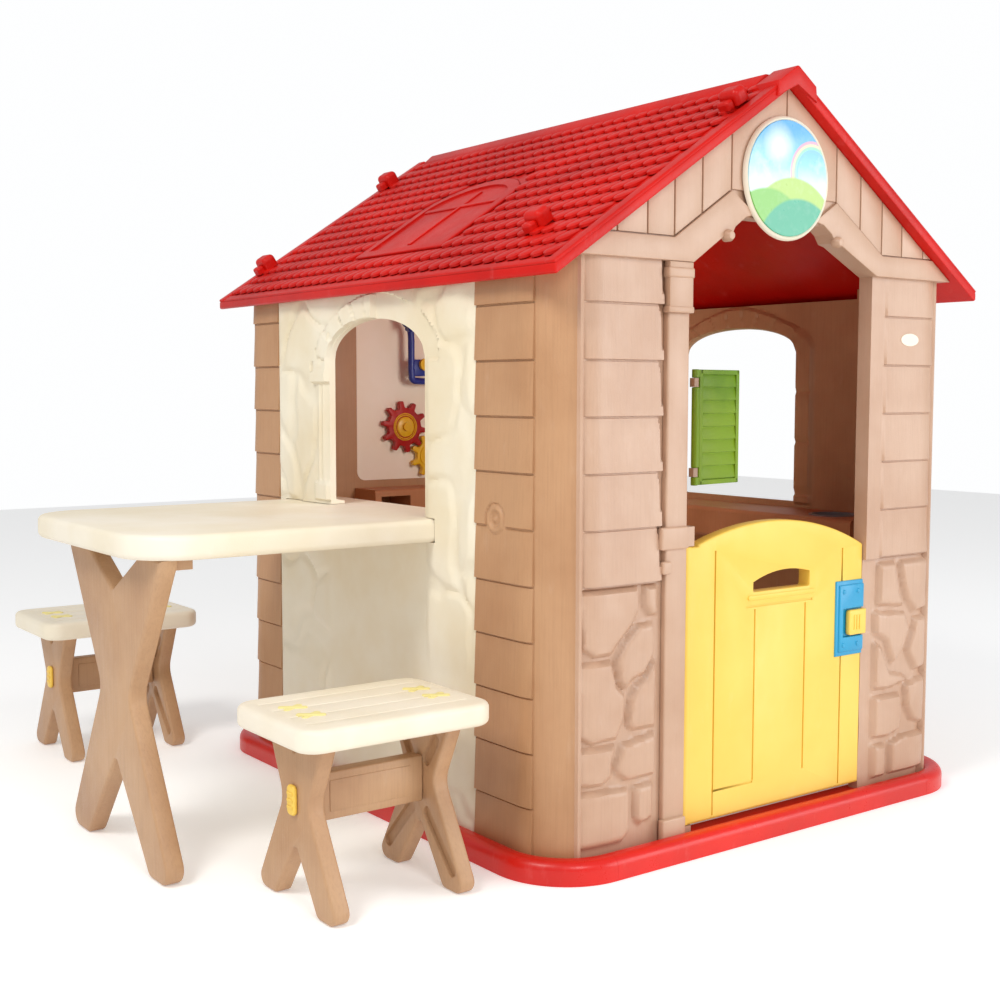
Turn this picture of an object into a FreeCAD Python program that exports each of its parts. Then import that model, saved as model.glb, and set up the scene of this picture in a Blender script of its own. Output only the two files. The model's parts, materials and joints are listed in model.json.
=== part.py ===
import FreeCAD, Part
import math
import os

# A toddler's plastic playhouse with a picnic table let into its left wall and two loose stools.
# Millimetres. +X runs to the right along the front, +Y into the house, +Z up.
# The origin is on the floor, below the middle of the front wall's outer face.

V = FreeCAD.Vector
X = V(1, 0, 0)
Y = V(0, 1, 0)
Z = V(0, 0, 1)

# House shell
wall_half = 467.0  # half the width over the side walls
depth = 1040.0  # front wall face to back wall face
wall_t = 28.0
corner_r = 90.0
seam_x = 420.0  # a corner post meets the front or back wall here
post_len = 200.0  # a front corner post reaches this far back along the side
back_post_len = 184.0
sill_z = 25.0  # feet of the walls
wall_top = 930.0  # foot of the gables
groove = 3.0  # depth of the siding lines
groove_w = 5.0
course = 86.0  # height of one siding board
course_top = 868.0
stone_top = 450.0  # boards above this, stones below

# Base rail
rail_proud = 36.0
rail_top = 36.0
rail_in = 36.0
rail_round = 15.0
rail_seam = 373.0

# Roof
ridge_z = 1240.0
roof_half = 493.0
eave_z = 912.0
roof_t = 18.0
roof_over = 27.0
rim_w = 24.0
rim_h = 5.0
roof_blocks = ((383.0, 140.0), (390.0, 1040.0), (84.0, 22.0), (96.0, 1038.0))  # x and y, on both slopes
tile_rows = 14
tile_lip = 5.0
slope = (ridge_z - eave_z) / roof_half
tilt = math.degrees(math.atan(slope))

# Doorway and door
door_x0 = -206.0
door_x1 = 232.0
post_x0 = -252.0
hinge_x = -191.5
door_y = 6.0  # the door stands this far behind the wall's face
door_t = 24.0
hinge_y = door_y + door_t / 2
hinge_r = 12.0
pin_r = 4.0
pin_in = 30.0  # depth of the pin holes in the door
latch_z = (306.0, 354.0)
latch_throw = 18.0
pin_gap = 0.06  # running clearance on the radius
door_z0 = 39.0
door_left_top = 488.0
door_peak = 519.0
door_peak_x = 30.0
door_grooves = (-134.0, -41.0, 82.0, 176.0)
door_slot = (-46.0, 92.0, 403.0, 434.0)
latch_plate_x = 159.0
latch_plate_z = (272.0, 404.0)
door_right_top = 466.0
door_end = 230.5

# Front gable
gable_proud = 9.0
gable_boards = ((124, 1048), (187, 1008), (245, 968), (300, 968), (360, 968))  # x and lower end of each seam
badge_at = (-4.0, 1074.0)
badge_r = 99.0
badge_t = 6.0

# Windows and shutters
left_win = (347.0, 649.0, 529.0, 800.0, 57.0)  # y0, y1, sill, spring, rise
right_win = (350.0, 672.0, 508.0, 818.0, 45.0)
shutter_z = (520.0, 782.0)
shutter_w = 158.0
shutter_t = 14.0
shutter_open = 98.0

# Table and stools
table_y = (308.0, 830.0)
table_z = (486.0, 524.0)
table_x = (-974.0, -350.0)
leg_at = (-919.0, 524.0)
leg_t = 30.0
leg_bars = (195.0, 212.0, 62.0, 262.0, 84.0)  # half widths at top, foot and waist, waist height, limb
seat_x = (-855.0, -537.0)
seat_z = (246.0, 280.0)
seat_width = 230.0
stool_legs = (-797.5, -587.5)
stool_leg_t = 27.0
stool_bars = (80.0, 122.0, 40.0, 152.0, 60.0)
mortise_z = (135.0, 175.0)
tie_z = (119.0, 189.0)
stool_y = {"front": 160.0, "back": 1195.0}

# Toy wheels on the back wall
panel_face = depth - wall_t - 12.0
red_at = (-98.0, 654.0)
red_teeth = 10
yellow_teeth = 8
gear_module = 10.0
gear_angle = -45.0
gear_t = 12.0
axle_r = 5.0
crank_at = (-66.0, 789.0)


def box(x0, x1, y0, y1, z0, z1):
    return Part.makeBox(x1 - x0, y1 - y0, z1 - z0, V(x0, y0, z0))


def rod(at, axis, r, length):
    return Part.makeCylinder(r, length, at, axis)


def face(points):
    wire = Part.makePolygon(list(points) + [points[0]])
    return Part.Face(wire)


def plate_xz(points, y0, y1):
    """Outline in X and Z, thickness along Y."""
    return face([V(x, y0, z) for x, z in points]).extrude(V(0, y1 - y0, 0))


def plate_yz(points, x0, x1):
    return face([V(x0, y, z) for y, z in points]).extrude(V(x1 - x0, 0, 0))


def soften(shape, r, keep):
    """Rounds the edges that keep() chooses."""
    edges = [e for e in shape.Edges if keep(e)]
    return shape.makeFillet(r, edges) if edges else shape


def along(e, axis):
    if not isinstance(e.Curve, Part.Line):
        return False
    return abs(abs(e.Curve.Direction.dot(axis)) - 1) < 1e-6


def middle(e):
    return e.BoundBox.Center


def roof_under(x):
    """Height of the roof's underside at a distance x from the ridge line."""
    return ridge_z - slope * abs(x) - roof_t


def arch_window(win, x0, x1):
    """Cutter for a window with a round-arched head, through a wall that stands in the Y-Z plane."""
    y0, y1, sill, spring, rise = win
    a = V(x0, y0, spring)
    b = V(x0, (y0 + y1) / 2, spring + rise)
    c = V(x0, y1, spring)
    edges = [
        Part.makeLine(V(x0, y0, sill), a),
        Part.Arc(a, b, c).toShape(),
        Part.makeLine(c, V(x0, y1, sill)),
        Part.makeLine(V(x0, y1, sill), V(x0, y0, sill)),
    ]
    return Part.Face(Part.Wire(edges)).extrude(V(x1 - x0, 0, 0))


def siding_heights(low):
    n = int((course_top - low) // course) + 1
    return [course_top - i * course for i in range(n)]


def write(name, shape):
    if isinstance(shape, list):
        shape = Part.makeCompound(shape)
    for s in shape.Solids:
        if not s.isValid():
            print("not valid:", name)
    shape.exportStep("parts/" + name + ".step")


# Plan of a corner post: a quarter round between two short flats
def corner_plan(grow):
    """Outline of the front left post, offset outwards by grow."""
    s = -wall_half - grow
    f = -grow
    r = corner_r + grow
    k = r * (1 - math.sqrt(0.5))
    return s, f, r, k


def corner_ring(grow_out, grow_in, x_end, y_end, z0, z1):
    """L-shaped wall round the front left corner, from x_end on the front to y_end on the side."""
    s, f, r, k = corner_plan(grow_out)
    si, fi, ri, ki = corner_plan(-grow_in)
    edges = [
        Part.makeLine(V(x_end, f, z0), V(s + r, f, z0)),
        Part.Arc(V(s + r, f, z0), V(s + k, f + k, z0), V(s, f + r, z0)).toShape(),
        Part.makeLine(V(s, f + r, z0), V(s, y_end, z0)),
        Part.makeLine(V(s, y_end, z0), V(si, y_end, z0)),
        Part.makeLine(V(si, y_end, z0), V(si, fi + ri, z0)),
        Part.Arc(V(si, fi + ri, z0), V(si + ki, fi + ki, z0), V(si + ri, fi, z0)).toShape(),
        Part.makeLine(V(si + ri, fi, z0), V(x_end, fi, z0)),
        Part.makeLine(V(x_end, fi, z0), V(x_end, f, z0)),
    ]
    return Part.Face(Part.Wire(edges)).extrude(V(0, 0, z1 - z0))


def mirror_x(shape):
    return shape.mirror(V(0, 0, 0), X)


def mirror_y(shape):
    return shape.mirror(V(0, depth / 2, 0), Y)


def under_roof(shape):
    """Cuts away what would reach into the roof."""
    top = ridge_z + 200
    w = roof_half + 60
    outline = [(0, roof_under(0)), (w, roof_under(w)), (w, top), (-w, top), (-w, roof_under(w))]
    return shape.cut(plate_xz(outline, -100, depth + 100))


def make_base():
    """Four rails: each has a rounded bead outside the walls and a flat sill that the walls stand on."""
    x0 = -wall_half
    left = corner_ring(rail_proud, 0, -rail_seam, depth / 2, 0, rail_top)
    bead = soften(left, rail_round, lambda e: abs(middle(e).z - rail_top) < 1e-6 and not at_ends(e))
    left = bead.fuse(corner_ring(0, rail_in, -rail_seam, depth / 2, 0, sill_z))
    left = left.fuse(mirror_y(left)).removeSplitter()
    write("base_left", left)
    write("base_right", mirror_x(left))
    end = rail_seam - 0.4
    bead = box(-end, end, -rail_proud, 0, 0, rail_top)
    bead = soften(bead, rail_round, lambda e: along(e, X) and middle(e).z > rail_top - 1)
    front = bead.fuse(box(-end, end, 0, rail_in, 0, sill_z)).removeSplitter()
    write("base_front", front)
    write("base_back", mirror_y(front))


def at_ends(e):
    b = e.BoundBox
    flat_end_x = abs(b.XMin + rail_seam) < 1e-3 and b.XLength < 1e-3
    flat_end_y = abs(b.YMin - depth / 2) < 1e-3 and b.YLength < 1e-3
    return flat_end_x or flat_end_y


def shell(x_end, y_end):
    """Wall round the front left corner, with its siding lines on the front."""
    wall = corner_ring(0, wall_t, x_end, y_end, sill_z, wall_top)
    return under_roof(wall)


def side_lines(wall, y_end):
    x = -wall_half
    for z in siding_heights(200):
        wall = wall.cut(box(x - 1, x + groove, corner_r + 20, y_end + 1, z - groove_w / 2, z + groove_w / 2))
    return wall


def front_lines(wall, x0, x1, low):
    """Siding lines on the front between x0 and x1, carried round the corner where they reach it."""
    for z in siding_heights(low):
        ring = corner_ring(1, groove, x1, corner_r + 20, z - groove_w / 2, z + groove_w / 2)
        wall = wall.cut(ring.common(box(x0, x1, -5, corner_r, z - groove_w, z + groove_w)))
    return wall


def make_corners():
    """Corner posts, with siding lines on the side half of each."""
    front = box(-seam_x, 0, -50, corner_r + 60, 0, wall_top + 10)
    for row, length in (("front", post_len), ("back", back_post_len)):
        post = side_lines(shell(-300, length), length).cut(front)
        if row == "back":
            post = mirror_y(post)
        write("corner_" + row + "_left", post)
        write("corner_" + row + "_right", mirror_x(post))


def make_front():
    """Two wall panels, the hinge post beside the door, and the gable with its arched mouth."""
    keep = box(-seam_x, 0, -50, corner_r + 60, 0, wall_top + 10)
    left = shell(post_x0, post_len).common(keep)
    write("front_wall_left", front_lines(left, -seam_x + 14, post_x0, stone_top - 10))
    right = shell(-door_x1, post_len).common(keep)
    pocket = box(-door_x1 - latch_throw - 4, -door_x1 + 1, door_y - 9.6, door_y + 1.2, latch_z[0], latch_z[1])
    right = right.cut(pocket)
    write("front_wall_right", mirror_x(front_lines(right, -seam_x + 14, -door_x1 - 38, stone_top - 10)))
    post = box(post_x0, door_x0, 0, wall_t, sill_z, wall_top)
    post = post.fuse(box(post_x0, door_x0, -8, 0, 853, wall_top)).removeSplitter()
    write("door_post", post)
    gable_half = (ridge_z - roof_t - wall_top) / slope
    outline = [
        (-gable_half, wall_top),
        (-204, wall_top),
        (-92, 1005),
        (92, 1005),
        (232, wall_top),
        (gable_half, wall_top),
        (0, roof_under(0)),
    ]
    gable = plate_xz(outline, -gable_proud, wall_t)
    for x, z in gable_boards:
        line = box(x - 1.5, x + 1.5, -gable_proud - 1, 3 - gable_proud, z, ridge_z)
        gable = gable.cut(line).cut(mirror_x(line))
    write("front_gable", under_roof(gable))
    badge_back = V(badge_at[0], -gable_proud, badge_at[1])
    write("badge_plate", rod(badge_back, -Y, badge_r, badge_t))
    write("badge_picture", rod(badge_back - Y * badge_t, -Y, badge_r - 7, 2))
    write("name_plate", oval(V(336, -3, 824), 24, 11, 3))


def oval(at, a, b, t):
    e = Part.Ellipse(V(0, 0, 0), a, b).toShape()
    plate = Part.Face(Part.Wire(e)).extrude(V(0, 0, t))
    plate.rotate(V(0, 0, 0), X, 90)
    plate.translate(at + V(0, t, 0))
    return plate


def make_back():
    """Back wall with its gable, and the cream play panel on its inner face."""
    keep = box(-seam_x, 0, -50, corner_r + 60, 0, wall_top + 10)
    half = front_lines(shell(0, post_len).common(keep), -seam_x + 14, 0, 100)
    write("back_wall", mirror_y(half.fuse(mirror_x(half)).removeSplitter()))
    gable_half = (ridge_z - roof_t - wall_top) / slope
    outline = [(-gable_half, wall_top), (gable_half, wall_top), (0, roof_under(0))]
    write("back_gable", under_roof(plate_xz(outline, depth - wall_t, depth + 12)))
    panel = box(-210, 250, panel_face, depth - wall_t, 540, 905)
    panel = soften(panel, 20, lambda e: along(e, Y))
    for x, z in (red_at, yellow_at(), crank_at):
        panel = panel.cut(rod(V(x, panel_face - 1, z), Y, axle_r, 30))
    write("play_panel", panel)


def make_sides():
    """Cream wall with an arched window and a slot for the table; tan wall with the shuttered window."""
    y0 = post_len
    y1 = depth - back_post_len
    top = roof_under(wall_half) - 0.5
    left = box(-wall_half, -wall_half + wall_t, y0, y1, sill_z, top)
    left = left.cut(arch_window(left_win, -wall_half - 5, -wall_half + wall_t + 5))
    slot = box(-500, -400, table_y[0] - 2, table_y[1] + 2, table_z[0] - 2, table_z[1] + 2)
    left = left.cut(slot)
    left = left.cut(box(-500, -400, left_win[0], left_win[1], table_z[1], left_win[2] + 1))
    write("left_wall", left)
    right = box(wall_half - wall_t, wall_half, y0, y1, sill_z, top)
    right = right.cut(arch_window(right_win, wall_half - wall_t - 5, wall_half + 5))
    x = wall_half - groove
    for z in siding_heights(100):
        for a, b in ((y0 + 14, right_win[0] - 40), (right_win[1] + 40, y1 - 14)):
            right = right.cut(box(x, wall_half + 1, a, b, z - groove_w / 2, z + groove_w / 2))
    write("right_wall", right)


def roof_profile(top_off, bottom_off, x_in, x_out):
    return [
        (-x_in, ridge_z - slope * x_in + top_off),
        (-x_in, ridge_z - slope * x_in + bottom_off),
        (-x_out, ridge_z - slope * x_out + bottom_off),
        (-x_out, ridge_z - slope * x_out + top_off),
    ]


def make_roof():
    """Two roof halves with a smooth rim and stepped rows of tiles, the ridge cap and its blocks."""
    y0 = -roof_over
    y1 = depth + roof_over
    half = plate_xz(roof_profile(0, -roof_t, 0.2, roof_half), y0, y1)
    rim = plate_xz(roof_profile(rim_h, -1, 0.2, roof_half), y0, y0 + rim_w)
    eave = plate_xz(roof_profile(rim_h, -1, roof_half - rim_w, roof_half), y0, y1)
    half = half.fuse([rim, mirror_y(rim), eave])
    pitch = (roof_half - rim_w - 30) / tile_rows
    for i in range(tile_rows):
        hi = 30 + i * pitch
        lo = hi + pitch
        step = [
            (-hi, ridge_z - slope * hi - 1),
            (-lo, ridge_z - slope * lo - 1),
            (-lo, ridge_z - slope * lo + tile_lip),
        ]
        half = half.fuse(plate_xz(step, y0 + rim_w, y1 - rim_w))
    half = half.removeSplitter()
    write("roof_left", half)
    write("roof_right", mirror_x(half))
    cap = plate_xz(
        [(0, ridge_z + 10), (-26, ridge_z - 4), (-34, ridge_z - slope * 34), (0, ridge_z),
         (34, ridge_z - slope * 34), (26, ridge_z - 4)],
        y0 + 2,
        y1 - 60,
    )
    write("ridge_cap", cap.cut(half).cut(mirror_x(half)))
    blocks = []
    for low_x, low_y in roof_blocks:
        for x, y in ((-low_x, low_y), (low_x, low_y)):
            block = box(-15, 15, -21, 21, 5.5, 31)
            block = soften(block, 9, lambda e: middle(e).z > 6)
            small = soften(box(-31, -14, -12, 12, 5.5, 20), 5, lambda e: middle(e).z > 6)
            block = block.fuse(small).removeSplitter()
            block.rotate(V(0, 0, 0), Y, -tilt)
            block.translate(V(-abs(x), y, ridge_z - slope * abs(x)))
            blocks.append(mirror_x(block) if x > 0 else block)
    write("roof_blocks", blocks)


def make_door():
    """Door panel on two pins, and the blue latch plate with its yellow slider."""
    edges = [
        Part.makeLine(V(hinge_x, door_y, door_z0), V(door_end, door_y, door_z0)),
        Part.makeLine(V(door_end, door_y, door_z0), V(door_end, door_y, door_right_top)),
        Part.Arc(
            V(door_end, door_y, door_right_top),
            V(door_peak_x, door_y, door_peak),
            V(hinge_x, door_y, door_left_top),
        ).toShape(),
        Part.makeLine(V(hinge_x, door_y, door_left_top), V(hinge_x, door_y, door_z0)),
    ]
    panel = Part.Face(Part.Wire(edges)).extrude(V(0, door_t, 0))
    barrel = rod(V(hinge_x, hinge_y, door_z0), Z, hinge_r, door_left_top - door_z0)
    panel = panel.cut(box(hinge_x - 1, hinge_x + 20, 0, 40, door_left_top, door_peak)).fuse(barrel)
    for z in (door_z0 - 1, door_left_top - pin_in):
        panel = panel.cut(rod(V(hinge_x, hinge_y, z), Z, pin_r + pin_gap, pin_in + 1))
    handle = box(door_slot[0], door_slot[1], -5, 40, door_slot[2], door_slot[3])
    handle = soften(handle, 10, lambda e: along(e, Y))
    panel = panel.cut(handle)
    plate_back = door_y + 4
    panel = panel.cut(box(latch_plate_x, door_end + 1, -5, plate_back, latch_plate_z[0], latch_plate_z[1]))
    for x in door_grooves:
        panel = panel.cut(box(x - 2, x + 2, 1, door_y + 2.5, door_z0 + 42, 370))
    write("door_panel", panel)
    pins = [
        rod(V(hinge_x, hinge_y, sill_z + 3), Z, pin_r, door_z0 - sill_z - 3 + pin_in - 1),
        rod(V(hinge_x, hinge_y, door_left_top - pin_in + 1), Z, pin_r, pin_in + 16),
    ]
    write("door_pins", pins)
    lugs = []
    for z0, z1 in ((sill_z, door_z0 - 0.8), (door_left_top + 1, door_left_top + 32)):
        lug = box(door_x0, hinge_x + 12, hinge_y - 13, hinge_y + 11, z0, z1)
        lug = soften(lug, 5, lambda e: along(e, Z) and middle(e).x > hinge_x)
        lugs.append(lug.cut(pins[0]).cut(pins[1]))
    write("hinge_lugs", lugs)
    front = door_y - 5
    plate = box(latch_plate_x, door_end, front, plate_back, latch_plate_z[0], latch_plate_z[1])
    plate = soften(plate, 3, lambda e: middle(e).y < front + 1)
    plate = plate.cut(box(176, door_end + 1, front - 1, front + 6, 305, 355))
    write("latch_plate", plate)
    tab = box(188, door_end + 2.5, front - 4, front + 5.6, 308, 352)
    tab = soften(tab, 3, lambda e: middle(e).y < front)
    write("latch_slider", tab)


def make_shutters():
    """Two green leaves, drawn open, each on its own pins beside the right window."""
    pins = []
    lugs = []
    for name, y, side in (("shutter_front", right_win[0], 1), ("shutter_back", right_win[1], -1)):
        at = V(wall_half + 10, y - side * 6, 0)
        leaf = box(-shutter_t / 2, shutter_t / 2, 0, shutter_w, shutter_z[0], shutter_z[1])
        leaf = soften(leaf, 3, lambda e: not along(e, X) and middle(e).y > 1)
        leaf = leaf.fuse(rod(V(0, 0, shutter_z[0]), Z, 8, shutter_z[1] - shutter_z[0]))
        for i in range(6):
            z = shutter_z[0] + 35 + i * 38
            for x in (-shutter_t / 2 - 1, shutter_t / 2 - 2):
                leaf = leaf.cut(box(x, x + 3, 20, shutter_w - 14, z - 2.5, z + 2.5))
        for z in (shutter_z[0] + 30, shutter_z[1] - 30):
            leaf = leaf.cut(box(-9, 9, -9, 9.5, z - 10.5, z + 10.5))
            leaf = leaf.cut(rod(V(0, 0, z - 26), Z, 3 + pin_gap, 52))
            pins.append(rod(at + V(0, 0, z - 24), Z, 3, 48))
            lug = rod(at + V(0, 0, z - 10), Z, 7.5, 20)
            lug = lug.fuse(box(wall_half, at.x, at.y - 7.5, at.y + 7.5, z - 10, z + 10)).removeSplitter()
            lugs.append(lug.cut(rod(at + V(0, 0, z - 11), Z, 3, 22)))
        if side < 0:
            leaf = leaf.mirror(V(0, 0, 0), Y)
        leaf.rotate(V(0, 0, 0), Z, -side * shutter_open)
        leaf.translate(at)
        write(name, leaf)
    write("shutter_pins", pins)
    write("shutter_lugs", lugs)


def yellow_at():
    reach = gear_module * (red_teeth + yellow_teeth) / 2
    a = math.radians(gear_angle)
    return red_at[0] + reach * math.cos(a), red_at[1] + reach * math.sin(a)


def gear(centre, teeth, turn, y0):
    """Flat toy gear with blunt teeth, axis along Y."""
    pitch_r = gear_module * teeth / 2
    root = pitch_r - 8
    tip = pitch_r + 6.5
    points = []
    step = 2 * math.pi / teeth
    for i in range(teeth):
        mid = math.radians(turn) + i * step
        for r, part in ((root, -0.26), (tip, -0.13), (tip, 0.13), (root, 0.26)):
            a = mid + part * step
            points.append((centre[0] + r * math.cos(a), centre[1] + r * math.sin(a)))
    return plate_xz(points, y0, y0 + gear_t)


def make_toys():
    """Two meshed gears and a crank on the play panel."""
    x, z = red_at
    y0 = panel_face - 4 - gear_t
    red = gear(red_at, red_teeth, gear_angle, y0)
    red = red.cut(rod(V(x, y0 - 1, z), Y, axle_r + pin_gap, 30))
    write("gear_red", red)
    cap = rod(V(x, y0 - 4, z), Y, 22, 4).cut(rod(V(x, y0 - 5, z), Y, axle_r + pin_gap, 8))
    write("gear_red_rose", cap)
    yx, yz = yellow_at()
    turn = gear_angle + 180 + 180.0 / yellow_teeth
    yellow = gear((yx, yz), yellow_teeth, turn, y0)
    yellow = yellow.cut(rod(V(yx, y0 - 1, yz), Y, axle_r + pin_gap, 30))
    write("gear_yellow", yellow)
    axles = []
    for ax, az in (red_at, (yx, yz)):
        spindle = rod(V(ax, y0 - 4.5, az), Y, axle_r, panel_face + 10 - y0 + 4.5)
        head = rod(V(ax, y0 - 9.5, az), Y, 9, 5)
        collar = rod(V(ax, panel_face - 3.5, az), Y, 9, 3.5)
        axles.append(spindle.fuse([head, collar]).removeSplitter())
    write("gear_axles", axles)
    cx, cz = crank_at
    y1 = y0 - 14
    outline = [(-52, 90), (-34, 90), (-30, -18), (32, -18), (32, -38), (-50, -38)]
    arm = plate_xz([(cx + a, cz + b) for a, b in outline], y1 - 12, y1)
    web = plate_xz([(cx + a, cz + b) for a, b in ((-42, -30), (-42, 14), (10, 14), (10, -30))], y1 - 10, y1)
    arm = arm.fuse(web).removeSplitter()
    arm = arm.cut(rod(V(cx, y1 - 15, cz), Y, axle_r + pin_gap, 30))
    write("crank_arm", arm)
    write("crank_knob", rod(V(cx - 43, y1 - 34, cz + 76), Y, 8, 22))
    spindle = rod(V(cx, y1 - 12.5, cz), Y, axle_r, panel_face + 10 - y1 + 12.5)
    head = rod(V(cx, y1 - 19.5, cz), Y, 13, 7)
    collar = rod(V(cx, y1 + 0.5, cz), Y, 9, panel_face - y1 - 0.5)
    write("crank_axle", spindle.fuse([head, collar]).removeSplitter())


def make_inside():
    """Counters along the right and back walls, with a sunk bowl in the right one."""
    x0 = 300.0
    x1 = wall_half - wall_t
    top = 496.0
    bench = box(x0, x1, 92, depth - 100, top - 60, top)
    bench = soften(bench, 8, lambda e: along(e, Y) and middle(e).x < x0 + 1)
    bowl = rod(V((x0 + x1) / 2, 190, top - 40), Z, 46, 60)
    bench = bench.cut(bowl)
    write("side_counter", bench)
    dish = rod(V((x0 + x1) / 2, 190, top - 40), Z, 46, 42)
    dish = dish.cut(rod(V((x0 + x1) / 2, 190, top - 34), Z, 40, 50))
    write("sink_bowl", dish)
    shelf = box(-215, x0, depth - wall_t - 95, depth - wall_t, 440, 524)
    hollow = box(-200, -128, depth - wall_t - 96, depth - wall_t - 10, 452, 510)
    write("back_counter", soften(shelf.cut(hollow), 6, lambda e: along(e, X) and middle(e).z > 523))


def cross_leg(bars, top_z, t):
    """X-shaped end leg standing in the Y-Z plane: two crossed limbs joined at the waist."""
    half_top, half_foot, half_waist, waist_z, limb = bars
    points = [
        (-half_top, top_z),
        (-half_top + limb, top_z),
        (0, waist_z + (top_z - waist_z) * 0.72),
        (half_top - limb, top_z),
        (half_top, top_z),
        (half_waist, waist_z),
        (half_foot, 0),
        (half_foot - limb, 0),
        (0, waist_z * 0.6),
        (-half_foot + limb, 0),
        (-half_foot, 0),
        (-half_waist, waist_z),
    ]
    leg = plate_yz(points, -t / 2, t / 2)
    return soften(leg, t * 0.16, lambda e: not along(e, X) and 1 < middle(e).z < top_z - 1)


def make_table():
    """Slab let into the left wall and carried by one crossed leg."""
    x0, x1 = table_x
    y0, y1 = table_y
    top = box(x0, x1, y0, y1, table_z[0], table_z[1])
    top = soften(top, 95, lambda e: along(e, Z) and middle(e).x < x0 + 1)
    top = soften(top, 30, lambda e: along(e, Z) and middle(e).x > x1 - 1)
    top = soften(top, 9, lambda e: middle(e).z > table_z[1] - 1 or middle(e).z < table_z[0] + 1)
    write("table_top", top)
    leg = cross_leg(leg_bars, table_z[0], leg_t)
    leg.translate(V(leg_at[0], leg_at[1], 0))
    write("table_leg", leg)
    pads = []
    inner = leg_at[0] + leg_t / 2
    for y in (leg_at[1] - 150, leg_at[1] + 150):
        pads.append(box(inner, inner + 30, y - 22, y + 22, table_z[0] - 18, table_z[0]))
    write("table_brackets", pads)


def make_stool(row):
    """Plank seat on two crossed legs tied by a keyed stretcher."""
    yc = stool_y[row]
    half = seat_width / 2
    seat = box(seat_x[0], seat_x[1], yc - half, yc + half, seat_z[0], seat_z[1])
    seat = soften(seat, 24, lambda e: along(e, Z))
    seat = soften(seat, 9, lambda e: middle(e).z > seat_z[1] - 1)
    for off in (-55, 0, 55):
        line = box(seat_x[0] + 30, seat_x[1] - 30, yc + off - 2, yc + off + 2, seat_z[1] - 3, seat_z[1] + 1)
        seat = seat.cut(line)
    plugs = []
    keys = []
    for name, x in (("left", stool_legs[0]), ("right", stool_legs[1])):
        leg = cross_leg(stool_bars, seat_z[0], stool_leg_t)
        leg.translate(V(x, yc, 0))
        mortise = box(x - 40, x + 40, yc - 10, yc + 10, mortise_z[0], mortise_z[1])
        write("stool_" + row + "_leg_" + name, leg.cut(mortise))
        out = -1 if name == "left" else 1
        a, b = sorted((x + out * stool_leg_t / 2, x + out * (stool_leg_t / 2 + 7)))
        key = box(a, b, yc - 8, yc + 8, mortise_z[0] - 2, mortise_z[1] + 2)
        keys.append(soften(key, 2.5, lambda e: not along(e, X)))
        for off in (-27, 27):
            at = V(x, yc + off, seat_z[1] - 4)
            seat = seat.cut(rod(at, Z, 8, 10))
            plugs.append(rod(at, Z, 8, 5))
    write("stool_" + row + "_seat", seat)
    write("stool_" + row + "_plugs", plugs)
    write("stool_" + row + "_keys", keys)
    left = stool_legs[0] + stool_leg_t / 2
    right = stool_legs[1] - stool_leg_t / 2
    tie = box(left, right, yc - 13, yc + 13, tie_z[0], tie_z[1])
    tie = soften(tie, 3, lambda e: along(e, X))
    outer = (stool_legs[0] - stool_leg_t / 2, stool_legs[1] + stool_leg_t / 2)
    tongue = box(outer[0], outer[1], yc - 9.9, yc + 9.9, mortise_z[0] + 0.1, mortise_z[1] - 0.1)
    write("stool_" + row + "_stretcher", tie.fuse(tongue).removeSplitter())


os.makedirs("parts", exist_ok=True)
make_base()
make_corners()
make_front()
make_back()
make_sides()
make_roof()
make_door()
make_shutters()
make_toys()
make_inside()
make_table()
make_stool("front")
make_stool("back")
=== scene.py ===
import json
import math

import bmesh
import bpy
from mathutils import Matrix, Vector, noise


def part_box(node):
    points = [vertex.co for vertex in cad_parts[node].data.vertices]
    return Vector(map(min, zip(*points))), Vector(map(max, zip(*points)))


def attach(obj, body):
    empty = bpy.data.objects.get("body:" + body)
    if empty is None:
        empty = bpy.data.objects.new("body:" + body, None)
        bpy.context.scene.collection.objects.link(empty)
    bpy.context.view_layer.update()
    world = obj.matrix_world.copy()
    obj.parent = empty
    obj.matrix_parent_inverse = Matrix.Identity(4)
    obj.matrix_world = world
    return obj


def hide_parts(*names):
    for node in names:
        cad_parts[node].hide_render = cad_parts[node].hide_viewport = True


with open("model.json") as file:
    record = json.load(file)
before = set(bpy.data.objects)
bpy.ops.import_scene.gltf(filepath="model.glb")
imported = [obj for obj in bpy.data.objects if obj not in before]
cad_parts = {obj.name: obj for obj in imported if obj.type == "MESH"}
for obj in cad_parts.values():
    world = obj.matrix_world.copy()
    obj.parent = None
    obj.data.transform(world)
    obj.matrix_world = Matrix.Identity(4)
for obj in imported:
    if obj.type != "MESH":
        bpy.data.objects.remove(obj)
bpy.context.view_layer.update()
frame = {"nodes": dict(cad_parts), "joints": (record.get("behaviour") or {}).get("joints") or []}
print("frame loaded:", len(frame["nodes"]), "nodes")

scene = bpy.context.scene
scene.view_settings.view_transform = "Standard"

camera = {
    "place": (-1.7058, -1.5415, 0.7329),
    "heading": 53.56,  # degrees from +X towards +Y
    "down": 4.564,
    "roll": 0.096,
    "lens": 49.307,
}


def makeCamera(c):
    heading, down, roll = (math.radians(c[k]) for k in ("heading", "down", "roll"))
    level = math.cos(down)
    forward = Vector((math.cos(heading) * level, math.sin(heading) * level, -math.sin(down)))
    flat = Vector((math.sin(heading), -math.cos(heading), 0))
    right = flat * math.cos(roll) + flat.cross(forward) * math.sin(roll)
    up = right.cross(forward)
    data = bpy.data.cameras.new("camera")
    data.lens = c["lens"]
    data.sensor_width = 36
    data.clip_end = 60
    eye = bpy.data.objects.new("camera", data)
    scene.collection.objects.link(eye)
    turn = Matrix((right, up, -forward)).transposed().to_4x4()
    eye.matrix_world = Matrix.Translation(c["place"]) @ turn
    scene.camera = eye


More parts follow.
